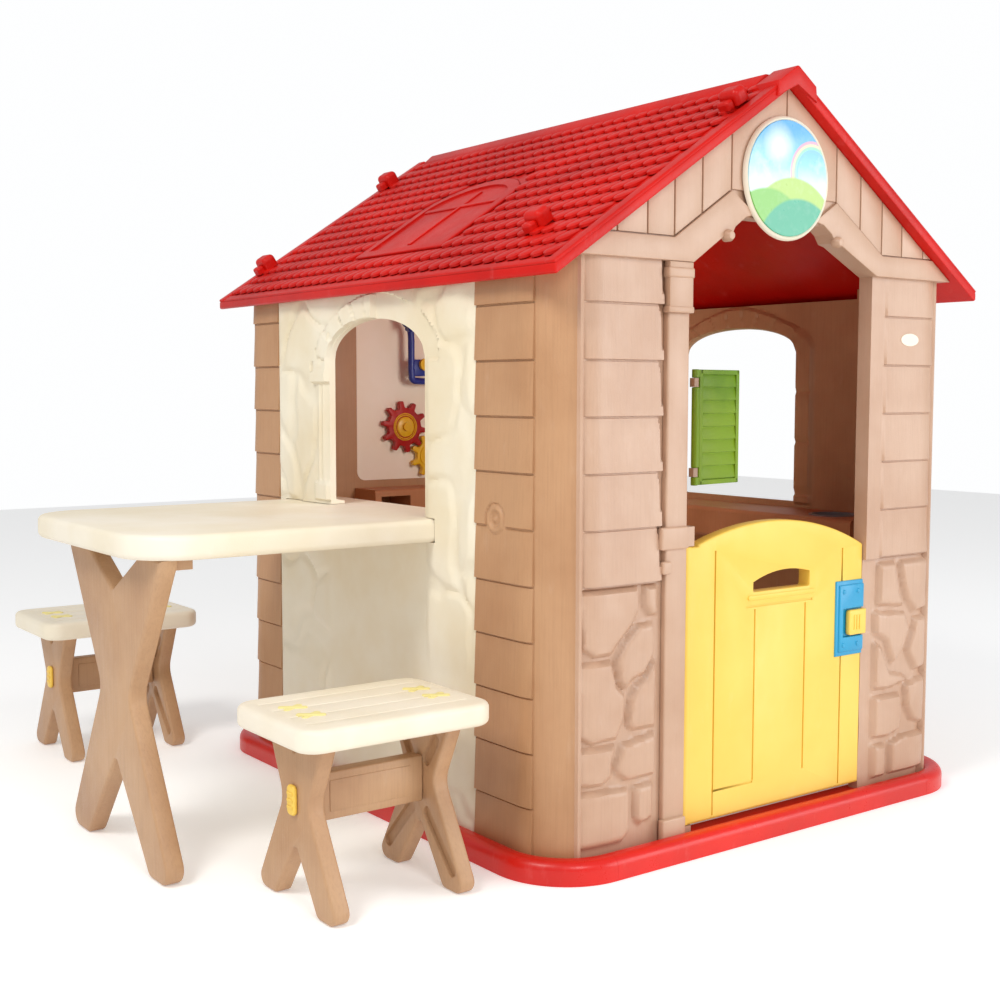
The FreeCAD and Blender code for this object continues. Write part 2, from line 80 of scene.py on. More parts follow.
studio = {
    "sky": (0.99, 0.995, 1.0),
    "skyLight": 0.59,  # what falls on the house
    "skySeen": 1.0,  # how bright the backdrop looks
    "floorSize": 14.0,
    "floorColour": (0.95, 0.95, 0.95),
    "floorGlow": 0.21,
    # name, place, size, watts, colour
    "lamps": [
        ("keyLamp", (-1.2, -3.4, 2.9), 1.6, 52, (0.96, 0.98, 1.0)),
        ("softBox", (2.7, -3.3, 1.3), 2.6, 74, (0.94, 0.97, 1.0)),
        ("leftLamp", (-2.9, -0.3, 3.2), 1.2, 60, (1.0, 0.98, 0.94)),
        ("insideLamp", (-0.05, 0.32, 0.80), 0.2, 1.5, (1.0, 0.95, 0.88)),
    ],
    "aim": {"insideLamp": (-0.05, 1.0, 0.66)},
    "aimOthers": (-0.1, 0.4, 0.55),
}


def makeStudio(s):
    world = bpy.data.worlds.new("sky")
    scene.world = world
    world.use_nodes = True
    tree = world.node_tree
    back = tree.nodes["Background"]
    back.inputs["Color"].default_value = (*s["sky"], 1)
    seen = tree.nodes.new("ShaderNodeLightPath")
    level = tree.nodes.new("ShaderNodeMapRange")
    level.inputs["To Min"].default_value = s["skyLight"]
    level.inputs["To Max"].default_value = s["skySeen"]
    tree.links.new(seen.outputs["Is Camera Ray"], level.inputs["Value"])
    tree.links.new(level.outputs[0], back.inputs["Strength"])
    bm = bmesh.new()
    bmesh.ops.create_grid(bm, x_segments=8, y_segments=8, size=s["floorSize"] / 2)
    mesh = bpy.data.meshes.new("floor")
    bm.to_mesh(mesh)
    bm.free()
    floor = bpy.data.objects.new("floor", mesh)
    floor.location.z = -0.0005
    scene.collection.objects.link(floor)
    paint = bpy.data.materials.new("floorPaint")
    paint.use_nodes = True
    shader = paint.node_tree.nodes["Principled BSDF"]
    shader.inputs["Base Color"].default_value = (*s["floorColour"], 1)
    shader.inputs["Roughness"].default_value = 0.6
    shader.inputs["Emission Color"].default_value = (1, 1, 1, 1)
    shader.inputs["Emission Strength"].default_value = s["floorGlow"]
    mesh.materials.append(paint)
    for name, place, size, watts, colour in s["lamps"]:
        data = bpy.data.lights.new(name, "AREA")
        data.shape = "DISK"
        data.size = size
        data.energy = watts
        data.color = colour
        lamp = bpy.data.objects.new(name, data)
        lamp.location = place
        lamp.visible_camera = False
        aim = Vector(s["aim"].get(name, s["aimOthers"])) - Vector(place)
        lamp.rotation_euler = aim.to_track_quat("-Z", "Y").to_euler()
        scene.collection.objects.link(lamp)


makeCamera(camera)
makeStudio(studio)


class Value:
    def __init__(self, finish, out):
        self.finish = finish
        self.out = out

    def maths(self, operation, a, b):
        return self.finish.node("ShaderNodeMath", {"operation": operation}, {0: a, 1: b})

    def __add__(self, other):
        return self.maths("ADD", self, other)

    def __radd__(self, other):
        return self.maths("ADD", other, self)

    def __sub__(self, other):
        return self.maths("SUBTRACT", self, other)

    def __rsub__(self, other):
        return self.maths("SUBTRACT", other, self)

    def __mul__(self, other):
        return self.maths("MULTIPLY", self, other)

    def __rmul__(self, other):
        return self.maths("MULTIPLY", other, self)

    def __gt__(self, other):
        return self.maths("GREATER_THAN", self, other)

    def __lt__(self, other):
        return self.maths("LESS_THAN", self, other)


class Finish:
    def __init__(self, name):
        self.material = bpy.data.materials.new(name)
        self.material.use_nodes = True
        self.tree = self.material.node_tree
        self.shader = self.tree.nodes["Principled BSDF"]

    def node(self, kind, settings=None, inputs=None, out=0):
        made = self.tree.nodes.new(kind)
        for key, value in (settings or {}).items():
            if key == "stops":
                ramp = made.color_ramp
                while len(ramp.elements) < len(value):
                    ramp.elements.new(0.5)
                for element, (at, colour) in zip(ramp.elements, value):
                    element.position = at
                    element.color = (*colour, 1)
            else:
                setattr(made, key, value)
        for key, value in (inputs or {}).items():
            self.feed(made.inputs[key], value)
        return Value(self, made.outputs[out])

    def feed(self, socket, value):
        if isinstance(value, Value):
            self.tree.links.new(value.out, socket)
        elif hasattr(socket.default_value, "__len__") and len(socket.default_value) == 4:
            socket.default_value = (*value, 1)
        else:
            socket.default_value = value

    def set(self, **values):
        for key, value in values.items():
            self.feed(self.shader.inputs[key.replace("_", " ")], value)

    def place(self, scale=(1, 1, 1), centre=(0, 0, 0)):
        where = self.node("ShaderNodeTexCoord", out="Object")
        if centre != (0, 0, 0):
            where = self.node("ShaderNodeVectorMath", {"operation": "SUBTRACT"}, {0: where, 1: centre})
        return self.node("ShaderNodeMapping", inputs={"Vector": where, "Scale": scale})

    def cloud(self, scale, stretch=(1, 1, 1), detail=3.0, rough=0.55):
        return self.node(
            "ShaderNodeTexNoise",
            inputs={"Vector": self.place(stretch), "Scale": scale, "Detail": detail, "Roughness": rough},
        )

    def mix(self, share, a, b):
        return self.node("ShaderNodeMix", {"data_type": "RGBA"}, {0: share, 6: a, 7: b}, out=2)

    def span(self, value, low, high, toLow=0.0, toHigh=1.0):
        names = ("Value", "From Min", "From Max", "To Min", "To Max")
        return self.node("ShaderNodeMapRange", inputs=dict(zip(names, (value, low, high, toLow, toHigh))))

    def bump(self, height, strength, distance=0.001):
        values = {"Height": height, "Strength": strength, "Distance": distance}
        return self.node("ShaderNodeBump", inputs=values)


def linear(code):
    parts = [int(code[i:i + 2], 16) / 255 for i in (0, 2, 4)]
    return tuple(p / 12.92 if p <= 0.04045 else ((p + 0.055) / 1.055) ** 2.4 for p in parts)


# Moulded polyethylene: a main colour that drifts to a second one, a fine orange-peel skin and faint scuffs.
# colour, second colour, roughness, skin strength, grain (0 none), coat, gloss
plastics = {
    "redShell": ("da180c", "c61408", 0.32, 0.25, 0.0, 0.1, 0.4),
    "roofRed": ("cc1206", "b60c04", 0.38, 0.3, 0.0, 0.0, 0.26),
    "tanShell": ("bc8f68", "ae7f58", 0.44, 0.3, 0.6, 0.0, 0.5),
    # tanFrontLit is the shell's tan made lighter and pinker for the front panels: painted light and sheen
    # from the front lamps, not a different plastic
    "tanFrontLit": ("c4a086", "b89074", 0.40, 0.3, 0.45, 0.1, 0.6),
    # tanSmoothLit has the same lighter, pinker tan as tanFrontLit, with less grain: painted light and sheen
    # of the lit front, not a different plastic
    "tanSmoothLit": ("c4a086", "b99276", 0.40, 0.35, 0.25, 0.1, 0.6),
    "creamShell": ("ece4d0", "e4d6b8", 0.55, 0.45, 0.0, 0.0, 0.4),
    "creamSmooth": ("efe6d4", "e8dcc2", 0.45, 0.3, 0.0, 0.0, 0.4),
    # panelCreamLit is the cream made paler than the walls' cream so the play panel reads bright inside the
    # shaded house: painted light
    "panelCreamLit": ("fbf0e0", "f6e8d2", 0.5, 0.3, 0.0, 0.0, 0.4),
    "paleYellow": ("efe39a", "e8d888", 0.45, 0.3, 0.0, 0.0, 0.4),
    "brownLeg": ("c09872", "ae8460", 0.44, 0.35, 0.7, 0.0, 0.5),
    "doorYellow": ("f0ca58", "ecc24c", 0.42, 0.2, 0.0, 0.0, 0.5),
    "toyYellow": ("f4c81e", "e0ac10", 0.36, 0.25, 0.0, 0.2, 0.5),
    "latchBlue": ("1e9cc8", "1688b8", 0.36, 0.3, 0.0, 0.1, 0.5),
    "shutterGreen": ("8aac1c", "6f9614", 0.42, 0.3, 0.15, 0.0, 0.4),
    "toyRed": ("c0160e", "a00c08", 0.36, 0.25, 0.0, 0.1, 0.4),
    "crankBlue": ("2c3c98", "222e80", 0.36, 0.25, 0.0, 0.1, 0.4),
    "innerBrown": ("b87c54", "a46a44", 0.55, 0.35, 0.4, 0.0, 0.4),
    "sinkGrey": ("8c8c90", "77777c", 0.35, 0.2, 0.0, 0.2, 0.5),
    "pinMetal": ("b8b8bc", "9c9ca2", 0.3, 0.15, 0.0, 0.0, 0.5),
}


def plastic(name):
    main, second, rough, skin, grain, coat, gloss = plastics[name]
    f = Finish(name)
    broad = f.cloud(5.0, detail=4.0)
    speck = f.cloud(420.0, detail=2.0)
    scuff = f.cloud(38.0, (1, 1, 0.35), 5.0, 0.65)
    wear = f.span(scuff, 0.60, 0.78)
    colour = f.mix(f.span(broad, 0.38, 0.66), linear(main), linear(second))
    pale = tuple(0.75 * p + 0.25 for p in linear(main))
    colour = f.mix(wear * 0.16, colour, pale)
    height = speck * 0.5
    if grain:
        streak = f.cloud(46.0, (6, 6, 0.22), 4.0, 0.6)
        dark = tuple(0.72 * p for p in linear(second))
        colour = f.mix(f.span(streak, 0.46, 0.74, 0.0, 0.34 * grain), colour, dark)
        height = height + streak * (1.6 * grain)
    f.set(Base_Color=colour, Roughness=f.span(speck + scuff, 0.7, 1.3, rough - 0.06, rough + 0.1))
    f.set(Normal=f.bump(height, skin, 0.0012))
    f.set(Coat_Weight=coat, Coat_Roughness=0.25, Specular_IOR_Level=gloss)
    return f.material


# a plain landscape, in shares of the badge's radius from its middle
picture = {
    "sky": [(0.0, "d4ecee"), (0.4, "84c8e4"), (1.0, "2494d0")],
    "glow": (-0.25, 0.56, 0.42, 0.36),  # x, z, radius, softness
    "bow": (0.62, 0.12, 0.5, 0.1),
    "bands": [(0.58, "f08c8c"), (0.53, "f8dc78"), (0.48, "9cd88c"), (0.43, "7cb8ec")],
    "bandWide": 0.05,
    "hills": [(0.15, -1.15, 1.20, "a4c45c"), (-0.5, -1.3, 1.12, "76b64c"), (0.30, -1.45, 1.14, "2fa07c")],
}


def badgePrint(centre, radius):
    f = Finish("badgePrint")
    where = f.place((1 / radius, 1, 1 / radius), centre)
    across = f.node("ShaderNodeSeparateXYZ", inputs={0: where})
    upward = Value(f, across.out.node.outputs[2])
    mist = f.cloud(14.0, detail=5.0)
    stops = [(at, linear(code)) for at, code in picture["sky"]]
    sky = f.node("ShaderNodeValToRGB", {"stops": stops}, {0: f.span(upward + mist * 0.5, 0.1, 1.15)})
    puff = f.span(mist, 0.52, 0.66)
    colour = f.mix(puff * f.span(upward, 0.75, 0.1) * 0.8, sky, linear("e4eef2"))

    def disc(x, z, r, soft):
        dx = across - x
        dz = upward - z
        away = f.node("ShaderNodeMath", {"operation": "SQRT"}, {0: dx * dx + dz * dz})
        return f.span(away, r, r - soft), away

    glow, _ = disc(*picture["glow"])
    colour = f.mix(glow * 0.8, colour, linear("e6eef2"))
    _, bow = disc(*picture["bow"])
    for r, code in picture["bands"]:
        ring = (bow < r) * (bow > r - picture["bandWide"]) * (upward > 0.0)
        colour = f.mix(ring * 0.6, colour, linear(code))
    for x, z, r, code in picture["hills"]:
        hill, _ = disc(x, z, r, 0.05)
        colour = f.mix(hill, colour, linear(code))
    tuft = f.cloud(60.0, detail=4.0)
    f.set(Base_Color=f.mix(f.span(tuft, 0.5, 0.8) * 0.12, colour, linear("f4f8f8")))
    f.set(Roughness=f.span(tuft, 0.3, 0.7, 0.26, 0.4), Coat_Weight=0.3, Coat_Roughness=0.2)
    return f.material


look = {name: plastic(name) for name in plastics}
print("finishes made:", len(look))


def clamp(t):
    return max(0.0, min(1.0, t))


def ease(t):
    t = clamp(t)
    return t * t * (3 - 2 * t)


def ticks(low, high, step, marks=()):
    count = max(1, round((high - low) / step))
    plain = [low + (high - low) * i / count for i in range(count + 1)]
    marks = [m for m in marks if low + 1e-5 < m < high - 1e-5]
    kept = [p for p in plain if p in (low, high) or all(abs(p - m) > 0.35 * step for m in marks)]
    return sorted(set(kept + marks))


def finer(marks, low, high, step):
    # closes the spacing of a row of ticks between low and high
    before = [m for m in marks if m < low - step / 2]
    after = [m for m in marks if m > high + step / 2]
    return before + ticks(low, high, step) + after


def slab(us, vs, place, keep=None):
    # a wall of two skins: place(u, v, w) puts the outer skin at w = 0 and the inner one at w = 1
    bm = bmesh.new()
    bmesh.ops.create_grid(bm, x_segments=len(us) - 1, y_segments=len(vs) - 1, size=1)
    for v in bm.verts:
        i = round((v.co.x + 1) / 2 * (len(us) - 1))
        j = round((v.co.y + 1) / 2 * (len(vs) - 1))
        v.co = (us[i], vs[j], 0)
    if keep:
        gone = [f for f in bm.faces if not keep(*f.calc_center_median().xy)]
        bmesh.ops.delete(bm, geom=gone, context="FACES")
    made = bmesh.ops.extrude_face_region(bm, geom=bm.faces[:], use_keep_orig=True)
    for v in made["geom"]:
        if isinstance(v, bmesh.types.BMVert):
            v.co.z = 1
    for v in bm.verts:
        v.co = place(*v.co)
    bmesh.ops.recalc_face_normals(bm, faces=bm.faces)
    return bm


def bevelEdges(bm, edges, width, segments, clamp=False):
    bmesh.ops.bevel(bm, geom=edges, offset=width, segments=segments, profile=0.5, affect="EDGES", material=-1,
                    clamp_overlap=clamp)


axes = {"x": (1, 2, 0), "y": (0, 2, 1), "z": (0, 1, 2)}  # for each axis: the two across it, then itself


def rounded(points, steps):
    # turns each (a, b, radius) corner of an outline into an arc that fits between its neighbours
    made = []
    for i, p in enumerate(points):
        if len(p) < 3:
            made.append(p)
            continue
        corner = Vector(p[:2])
        back = Vector(points[i - 1][:2]) - corner
        ahead = Vector(points[(i + 1) % len(points)][:2]) - corner
        half = back.angle(ahead) / 2
        reach = min(p[2] / math.tan(half), 0.46 * back.length, 0.46 * ahead.length)
        r = reach * math.tan(half)
        centre = corner + (back.normalized() + ahead.normalized()).normalized() * (r / math.sin(half))
        start = corner + back.normalized() * reach - centre
        end = corner + ahead.normalized() * reach - centre
        turn = start.angle(end) * (1 if start.x * end.y - start.y * end.x > 0 else -1)
        made += [tuple(centre + Matrix.Rotation(turn * k / steps, 2) @ start) for k in range(steps + 1)]
    return made


def plate(points, axis, low, high, edge=0.0, segments=2, cornerSegments=5):
    # an outline of (a, b) or (a, b, corner radius) in the plane across axis, given a thickness along it
    bm = bmesh.new()
    a, b, c = axes[axis]
    verts = []
    for p in rounded(points, cornerSegments):
        co = [0, 0, 0]
        co[a], co[b], co[c] = p[0], p[1], low
        verts.append(bm.verts.new(co))
    bm.faces.new(verts)
    made = bmesh.ops.extrude_face_region(bm, geom=bm.faces[:], use_keep_orig=True)
    for v in made["geom"]:
        if isinstance(v, bmesh.types.BMVert):
            v.co[c] = high
    bmesh.ops.recalc_face_normals(bm, faces=bm.faces)
    if edge:
        flat = [e for e in bm.edges if abs(e.verts[0].co[c] - e.verts[1].co[c]) < 1e-6]
        rim = [e for e in flat if abs(e.verts[0].co[c] - low) < 1e-6 or abs(e.verts[0].co[c] - high) < 1e-6]
        rim = [e for e in rim if e.is_manifold and e.calc_face_angle(0) > 1.0]
        bevelEdges(bm, rim, edge, segments)
    return bm


def brick(low, high, edge=0.002, segments=2):
    bm = bmesh.new()
    bmesh.ops.create_cube(bm, size=1)
    size = Vector(high) - Vector(low)
    bmesh.ops.scale(bm, vec=size, verts=bm.verts)
    bmesh.ops.translate(bm, vec=(Vector(low) + Vector(high)) / 2, verts=bm.verts)
    if edge:
        bevelEdges(bm, bm.edges[:], edge, segments)
    return bm


def turned(profile, axis, centre, steps=40):
    # a profile of (radius, distance along the axis) spun into a closed round piece
    bm = bmesh.new()
    a, _, c = axes[axis]
    verts = []
    for r, h in profile:
        co = [0, 0, 0]
        co[a], co[c] = r, h
        verts.append(bm.verts.new(co))
    edges = [bm.edges.new(pair) for pair in zip(verts, verts[1:])]
    about = [0, 0, 0]
    about[c] = 1
    bmesh.ops.spin(
        bm, geom=verts + edges, axis=about, cent=(0, 0, 0), angle=math.tau, steps=steps, use_merge=True
    )
    bmesh.ops.remove_doubles(bm, verts=bm.verts, dist=1e-5)
    bmesh.ops.recalc_face_normals(bm, faces=bm.faces)
    bmesh.ops.translate(bm, vec=centre, verts=bm.verts)
    return bm


def turnAbout(bm, angle, axis):
    bmesh.ops.rotate(bm, cent=(0, 0, 0), matrix=Matrix.Rotation(angle, 3, axis), verts=bm.verts)


def join(*many):
    whole = many[0]
    for other in many[1:]:
        mesh = bpy.data.meshes.new("part")
        other.to_mesh(mesh)
        other.free()
        whole.from_mesh(mesh)
        bpy.data.meshes.remove(mesh)
    return whole


def meshObject(name, bm):
    mesh = bpy.data.meshes.new(name)
    bm.to_mesh(mesh)
    bm.free()
    made = bpy.data.objects.new(name, mesh)
    scene.collection.objects.link(made)
    return made


def carve(bm, cutters):
    body = meshObject("body", bm)
    tool = meshObject("tool", join(*cutters))
    cut = body.modifiers.new("carve", "BOOLEAN")
    cut.operation = "DIFFERENCE"
    cut.solver = "EXACT"
    cut.use_self = True
    cut.object = tool
    solved = bpy.data.meshes.new_from_object(body.evaluated_get(bpy.context.evaluated_depsgraph_get()))
    result = bmesh.new()
    result.from_mesh(solved)
    for thing in (body, tool):
        bpy.data.objects.remove(thing)
    bmesh.ops.remove_doubles(result, verts=result.verts, dist=1e-6)
    return result


def soften(bm, width, segments=2, angle=0.6):
    sharp = [e for e in bm.edges if e.is_manifold and e.calc_face_angle(0) > angle]
    bevelEdges(bm, sharp, width, segments, True)
    return bm


def mirrored(bm, axis):
    i = "xyz".index(axis)
    for v in bm.verts:
        v.co[i] = -v.co[i]
    bmesh.ops.reverse_faces(bm, faces=bm.faces)
    return bm


def piece(name, bm, finish, stands=(), body="house", sharp=0.62):
    for f in bm.faces:
        f.smooth = True
    for e in bm.edges:
        e.smooth = not (e.is_manifold and e.calc_face_angle(0) > sharp)
    made = meshObject(name, bm)
    made.data.materials.append(look[finish])
    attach(made, body)
    if stands:
        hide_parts(*stands)
    return made


def dress(finish, *nodes):
    for n in nodes:
        for s in frame["nodes"][n].material_slots:
            s.material = look[finish]


shellLow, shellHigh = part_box("corner_front_left")
backLow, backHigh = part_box("corner_back_left")
shell = {
    "half": -shellLow.x,
    "depth": backHigh.y,
    "foot": shellLow.z,
    "top": shellHigh.z,
    "radius": 0.09,
    "thick": 0.028,
    "seam": 0.42,  # a corner post meets the front or back panel at this x
    "course": 0.0846,  # height of one board
    "courseTop": 0.864,
    "lap": 0.0034,
    "latchPocket": (0.0235, 0.3055, 0.3545, 0.0078),  # reach from the doorway, lower and upper end, depth
    "stoneTop": 0.441,
    "stonePuff": 0.0105,
    "bead": 0.005,
    "panelStep": 0.004,  # spacing of the surface grids
    "stoneStep": 0.0042,
    "boardStep": 0.0085,
    "knot": (0.147, 0.536, 0.026),  # back from the front face, height, radius
}
arcLength = shell["radius"] * math.pi / 2
roofLow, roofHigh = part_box("roof_left")
ridgeZ = 1.240  # where the two slopes' upper faces meet
eaveZ = 0.912  # their upper faces at the eaves
roofThick = 0.018
slope = (ridgeZ - eaveZ) / -roofLow.x


def roofUnder(x):
    return ridgeZ - roofThick - slope * abs(x)


def underRoof(x):
    return roofUnder(x) - 0.001


def roofReach(z):
    # how far out a gable goes at height z
    return (ridgeZ - roofThick - z) / slope - 0.001


def boardLines():
    return [shell["courseTop"] - i * shell["course"] for i in range(-1, 11)]


def lineTicks(lines):
    marks = []
    for z in lines:
        marks += [z - 0.0032, z - 0.0026, z - 0.0002, z + 0.0006]
    return marks


def lap(z):
    share = ((z - shell["courseTop"]) / shell["course"]) % 1
    groove = 0.0016 if share > 1 - 0.003 / shell["course"] else 0.0
    return shell["lap"] * (1 - share) - groove


def onCorner(s, back, right):
    # s runs from the front face (s < 0) round the corner and back along the side
    r = shell["radius"]
    half = shell["half"]
    if s < 0:
        at, out = Vector((-half + r - s, 0, 0)), Vector((0, -1, 0))
    elif s < arcLength:
        a = s / r
        out = Vector((-math.sin(a), -math.cos(a), 0))
        at = Vector((-half + r, r, 0)) + out * r
    else:
        at, out = Vector((-half, r + s - arcLength, 0)), Vector((-1, 0, 0))
    if back:
        at.y, out.y = shell["depth"] - at.y, -out.y
    if right:
        at.x, out.x = -at.x, -out.x
    return at, out


def seamS():
    return shell["radius"] * math.asin((shell["seam"] - shell["half"] + shell["radius"]) / shell["radius"])


def bead(d):
    # a half-round bead d metres from the seam
    b = shell["bead"]
    return math.sqrt(max(0.0, b * b - (d - b) ** 2)) if 0 <= d <= 2 * b else 0.0


def edgeDistance(x, z, outline):
    inside = False
    best = 9.0
    for (x0, z0), (x1, z1) in zip(outline, outline[1:] + outline[:1]):
        if (z0 > z) != (z1 > z) and x < (x1 - x0) * (z - z0) / (z1 - z0) + x0:
            inside = not inside
        dx, dz = x1 - x0, z1 - z0
        t = clamp(((x - x0) * dx + (z - z0) * dz) / (dx * dx + dz * dz))
        best = min(best, math.hypot(x - x0 - t * dx, z - z0 - t * dz))
    return best if inside else -best


def pillow(x, z, stones, puff, soft=0.009):
    # puffed stones with creases between them
    d = max(edgeDistance(x, z, s) for s in stones)
    wave = 0.0012 * noise.noise(Vector((x * 24, z * 24, 1.7)))
    return puff * (ease(d / soft) ** 0.6 if d > 0 else 0) - 0.0078 + wave


# outlines across the panel: x from the seam towards the doorway, z up
stonesLeft = [
    [(-0.418, 0.436), (-0.302, 0.437), (-0.300, 0.398), (-0.312, 0.376), (-0.343, 0.348), (-0.356, 0.333),
     (-0.390, 0.332), (-0.413, 0.347)],
    [(-0.293, 0.437), (-0.262, 0.437), (-0.262, 0.386), (-0.280, 0.386), (-0.294, 0.406)],
    [(-0.302, 0.378), (-0.270, 0.380), (-0.268, 0.325), (-0.288, 0.297), (-0.312, 0.291), (-0.328, 0.275),
     (-0.342, 0.291), (-0.349, 0.326), (-0.332, 0.352)],
    [(-0.417, 0.327), (-0.354, 0.327), (-0.343, 0.286), (-0.326, 0.271), (-0.328, 0.233), (-0.343, 0.203),
     (-0.395, 0.200), (-0.416, 0.212)],
    [(-0.276, 0.315), (-0.263, 0.318), (-0.263, 0.212), (-0.315, 0.212), (-0.326, 0.224), (-0.320, 0.262),
     (-0.308, 0.283), (-0.288, 0.294)],
    [(-0.417, 0.196), (-0.343, 0.197), (-0.353, 0.166), (-0.351, 0.146), (-0.374, 0.134), (-0.416, 0.138)],
    [(-0.335, 0.195), (-0.264, 0.206), (-0.264, 0.135), (-0.323, 0.133), (-0.343, 0.146), (-0.350, 0.160)],
    [(-0.417, 0.130), (-0.374, 0.129), (-0.318, 0.126), (-0.316, 0.054), (-0.330, 0.040), (-0.416, 0.040)],
    [(-0.310, 0.126), (-0.267, 0.128), (-0.267, 0.068), (-0.298, 0.060), (-0.308, 0.073)],
]
stonesRight = [
    [(0.268, 0.430), (0.318, 0.430), (0.330, 0.378), (0.348, 0.345), (0.300, 0.348), (0.268, 0.352)],
    [(0.327, 0.430), (0.415, 0.430), (0.415, 0.335), (0.372, 0.330), (0.352, 0.352), (0.338, 0.380)],
    [(0.262, 0.344), (0.300, 0.340), (0.348, 0.336), (0.362, 0.306), (0.342, 0.262), (0.314, 0.238),
     (0.292, 0.285), (0.262, 0.302)],
    [(0.374, 0.322), (0.415, 0.326), (0.415, 0.225), (0.378, 0.222), (0.352, 0.262), (0.370, 0.300)],
    [(0.262, 0.292), (0.286, 0.276), (0.308, 0.230), (0.345, 0.222), (0.366, 0.208), (0.300, 0.196),
     (0.262, 0.200)],
    [(0.262, 0.190), (0.338, 0.188), (0.346, 0.152), (0.340, 0.118), (0.300, 0.108), (0.262, 0.112)],
    [(0.348, 0.202), (0.415, 0.214), (0.415, 0.118), (0.372, 0.130), (0.354, 0.158)],
    [(0.262, 0.102), (0.302, 0.100), (0.302, 0.038), (0.262, 0.038)],
    [(0.311, 0.099), (0.350, 0.110), (0.415, 0.108), (0.415, 0.038), (0.311, 0.038)],
]


def clipTop(at, z):
    return min(z, roofUnder(at.x) - 0.0005)


def frontPanel(right):
    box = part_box("front_wall_right" if right else "front_wall_left")
    edge = min(abs(box[0].x), abs(box[1].x))  # the end beside the doorway
    s0 = -(shell["half"] - shell["radius"] - edge)
    s1 = seamS()
    stones = stonesRight if right else stonesLeft
    us = ticks(s0, s1, shell["panelStep"], [s0 + 0.0125, s0 + 0.0135, s1 - 0.011, s1 - 0.0095, s1 - 0.0075])
    vs = ticks(shell["foot"], shell["stoneTop"] - 0.004, shell["stoneStep"])[:-1]
    vs += ticks(shell["stoneTop"] - 0.004, shell["top"], shell["boardStep"], lineTicks(boardLines()))
    pocket = shell["latchPocket"]
    if right:
        us = sorted(us + [s0 + pocket[0] + d for d in (0, 0.0004)])
        vs = sorted(vs + [z + d for z in pocket[1:3] for d in (-0.0002, 0.0002)])

    def relief(s, x, z):
        along = abs(x) - edge
        if right and along < pocket[0] + 0.0002 and pocket[1] < z < pocket[2]:
            return -pocket[3]
        toSeam = s1 - s
        if toSeam < 2 * shell["bead"]:
            return bead(toSeam)
        if z < shell["stoneTop"] - 0.0035:
            if not right and along < 0.009:
                return -0.007
            return pillow(x, z, stones, shell["stonePuff"])
        share = ((z - shell["courseTop"]) / shell["course"]) % 1
        border = 0.040 if right else 0.006 + 0.008 * share
        if toSeam < 0.013:
            return 0.0
        if along < border:
            return 0.0 if right else -0.008
        return lap(z)

    def place(s, z, w):
        at, out = onCorner(s, False, right)
        push = relief(s, at.x, z) if w == 0 else -shell["thick"]
        spot = at + out * push
        return Vector((spot.x, spot.y, clipTop(spot, z)))

    return slab(us, vs, place)


def cornerPost(back, right):
    s0 = seamS()
    low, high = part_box("corner_back_left" if back else "corner_front_left")
    length = (shell["depth"] - low.y) if back else high.y
    s1 = arcLength + length - shell["radius"]
    boardStart = arcLength - 0.031
    us = ticks(s0, s1, 0.0045, [boardStart + d for d in (-0.003, -0.0022, -0.0002, 0.0006)])
    vs = ticks(shell["foot"], shell["top"], shell["boardStep"], lineTicks(boardLines()))
    knot = (arcLength + shell["knot"][0] - shell["radius"], *shell["knot"][1:])
    if not back:
        us = finer(us, knot[0] - knot[2], knot[0] + knot[2], 0.0019)
        vs = finer(vs, knot[1] - knot[2], knot[1] + knot[2], 0.0019)

    def relief(s, z):
        if s < boardStart:
            return -0.0012 if s > boardStart - 0.0028 else 0.0
        d = math.hypot(s - knot[0], z - knot[1])
        if not back and d < knot[2]:
            return 0.0024 * math.cos(d / knot[2] * math.pi * 3) * ease((knot[2] - d) / 0.004 + 0.4) + 0.0016
        return lap(z)

    def place(s, z, w):
        at, out = onCorner(s, back, right)
        push = relief(s, z) if w == 0 else -shell["thick"]
        spot = at + out * push
        return Vector((spot.x, spot.y, clipTop(spot, z)))

    return slab(us, vs, place)


def backPanel():
    s1 = seamS()
    span = shell["half"] - shell["radius"]
    us = ticks(-span - span - s1, s1, 0.014, [-0.003, 0.003, s1 - 0.011, s1 - 0.0095, s1 - 0.0075])
    vs = ticks(shell["foot"], shell["top"], shell["boardStep"], lineTicks(boardLines()))

    def place(s, z, w):
        right = s < -span
        t = -2 * span - s if right else s
        at, out = onCorner(t, True, right)
        toSeam = s1 - t
        push = bead(toSeam) or (lap(z) if toSeam > 0.013 else 0.0)
        push = push if w == 0 else -shell["thick"]
        spot = at + out * push
        return Vector((spot.x, spot.y, clipTop(spot, z)))

    return slab(us, vs, place)


def makeShell():
    # the front panels take the lighter tan and the posts and back the plain tan: painted light on the front
    # faces
    piece("frontPanelLeft", frontPanel(False), "tanFrontLit", ["front_wall_left"])
    piece("frontPanelRight", frontPanel(True), "tanFrontLit", ["front_wall_right"])
    for back in (False, True):
        for right in (False, True):
            node = "corner_" + ("back" if back else "front") + ("_right" if right else "_left")
            label = "cornerPost" + ("Back" if back else "Front") + ("Right" if right else "Left")
            piece(label, cornerPost(back, right), "tanShell", [node])
    piece("backPanel", backPanel(), "tanShell", ["back_wall"])


makeShell()
print("shell made")

leftWindow = {"y0": 0.344, "y1": 0.657, "sill": 0.5335, "spring": 0.787, "rise": 0.069, "power": 2.0}
rightWindow = {"y0": 0.350, "y1": 0.672, "sill": 0.508, "spring": 0.812, "rise": 0.051, "power": 2.1}
lipThick = 0.010  # the walls thin to this at their windows


def archHeight(win, y):
    t = abs(2 * (y - win["y0"]) / (win["y1"] - win["y0"]) - 1)
    return win["spring"] + (win["rise"] * (1 - t ** win["power"]) ** (1 / win["power"]) if t < 1 else 0.0)


def archWarp(win, y, z, top):
    # bends the row that passes the springing up into the arch
    h = archHeight(win, y)
    if z <= win["sill"]:
        return z
    if z <= win["spring"]:
        return win["sill"] + (z - win["sill"]) * (h - win["sill"]) / (win["spring"] - win["sill"])
    return h + (z - win["spring"]) * (top - h) / (top - win["spring"])


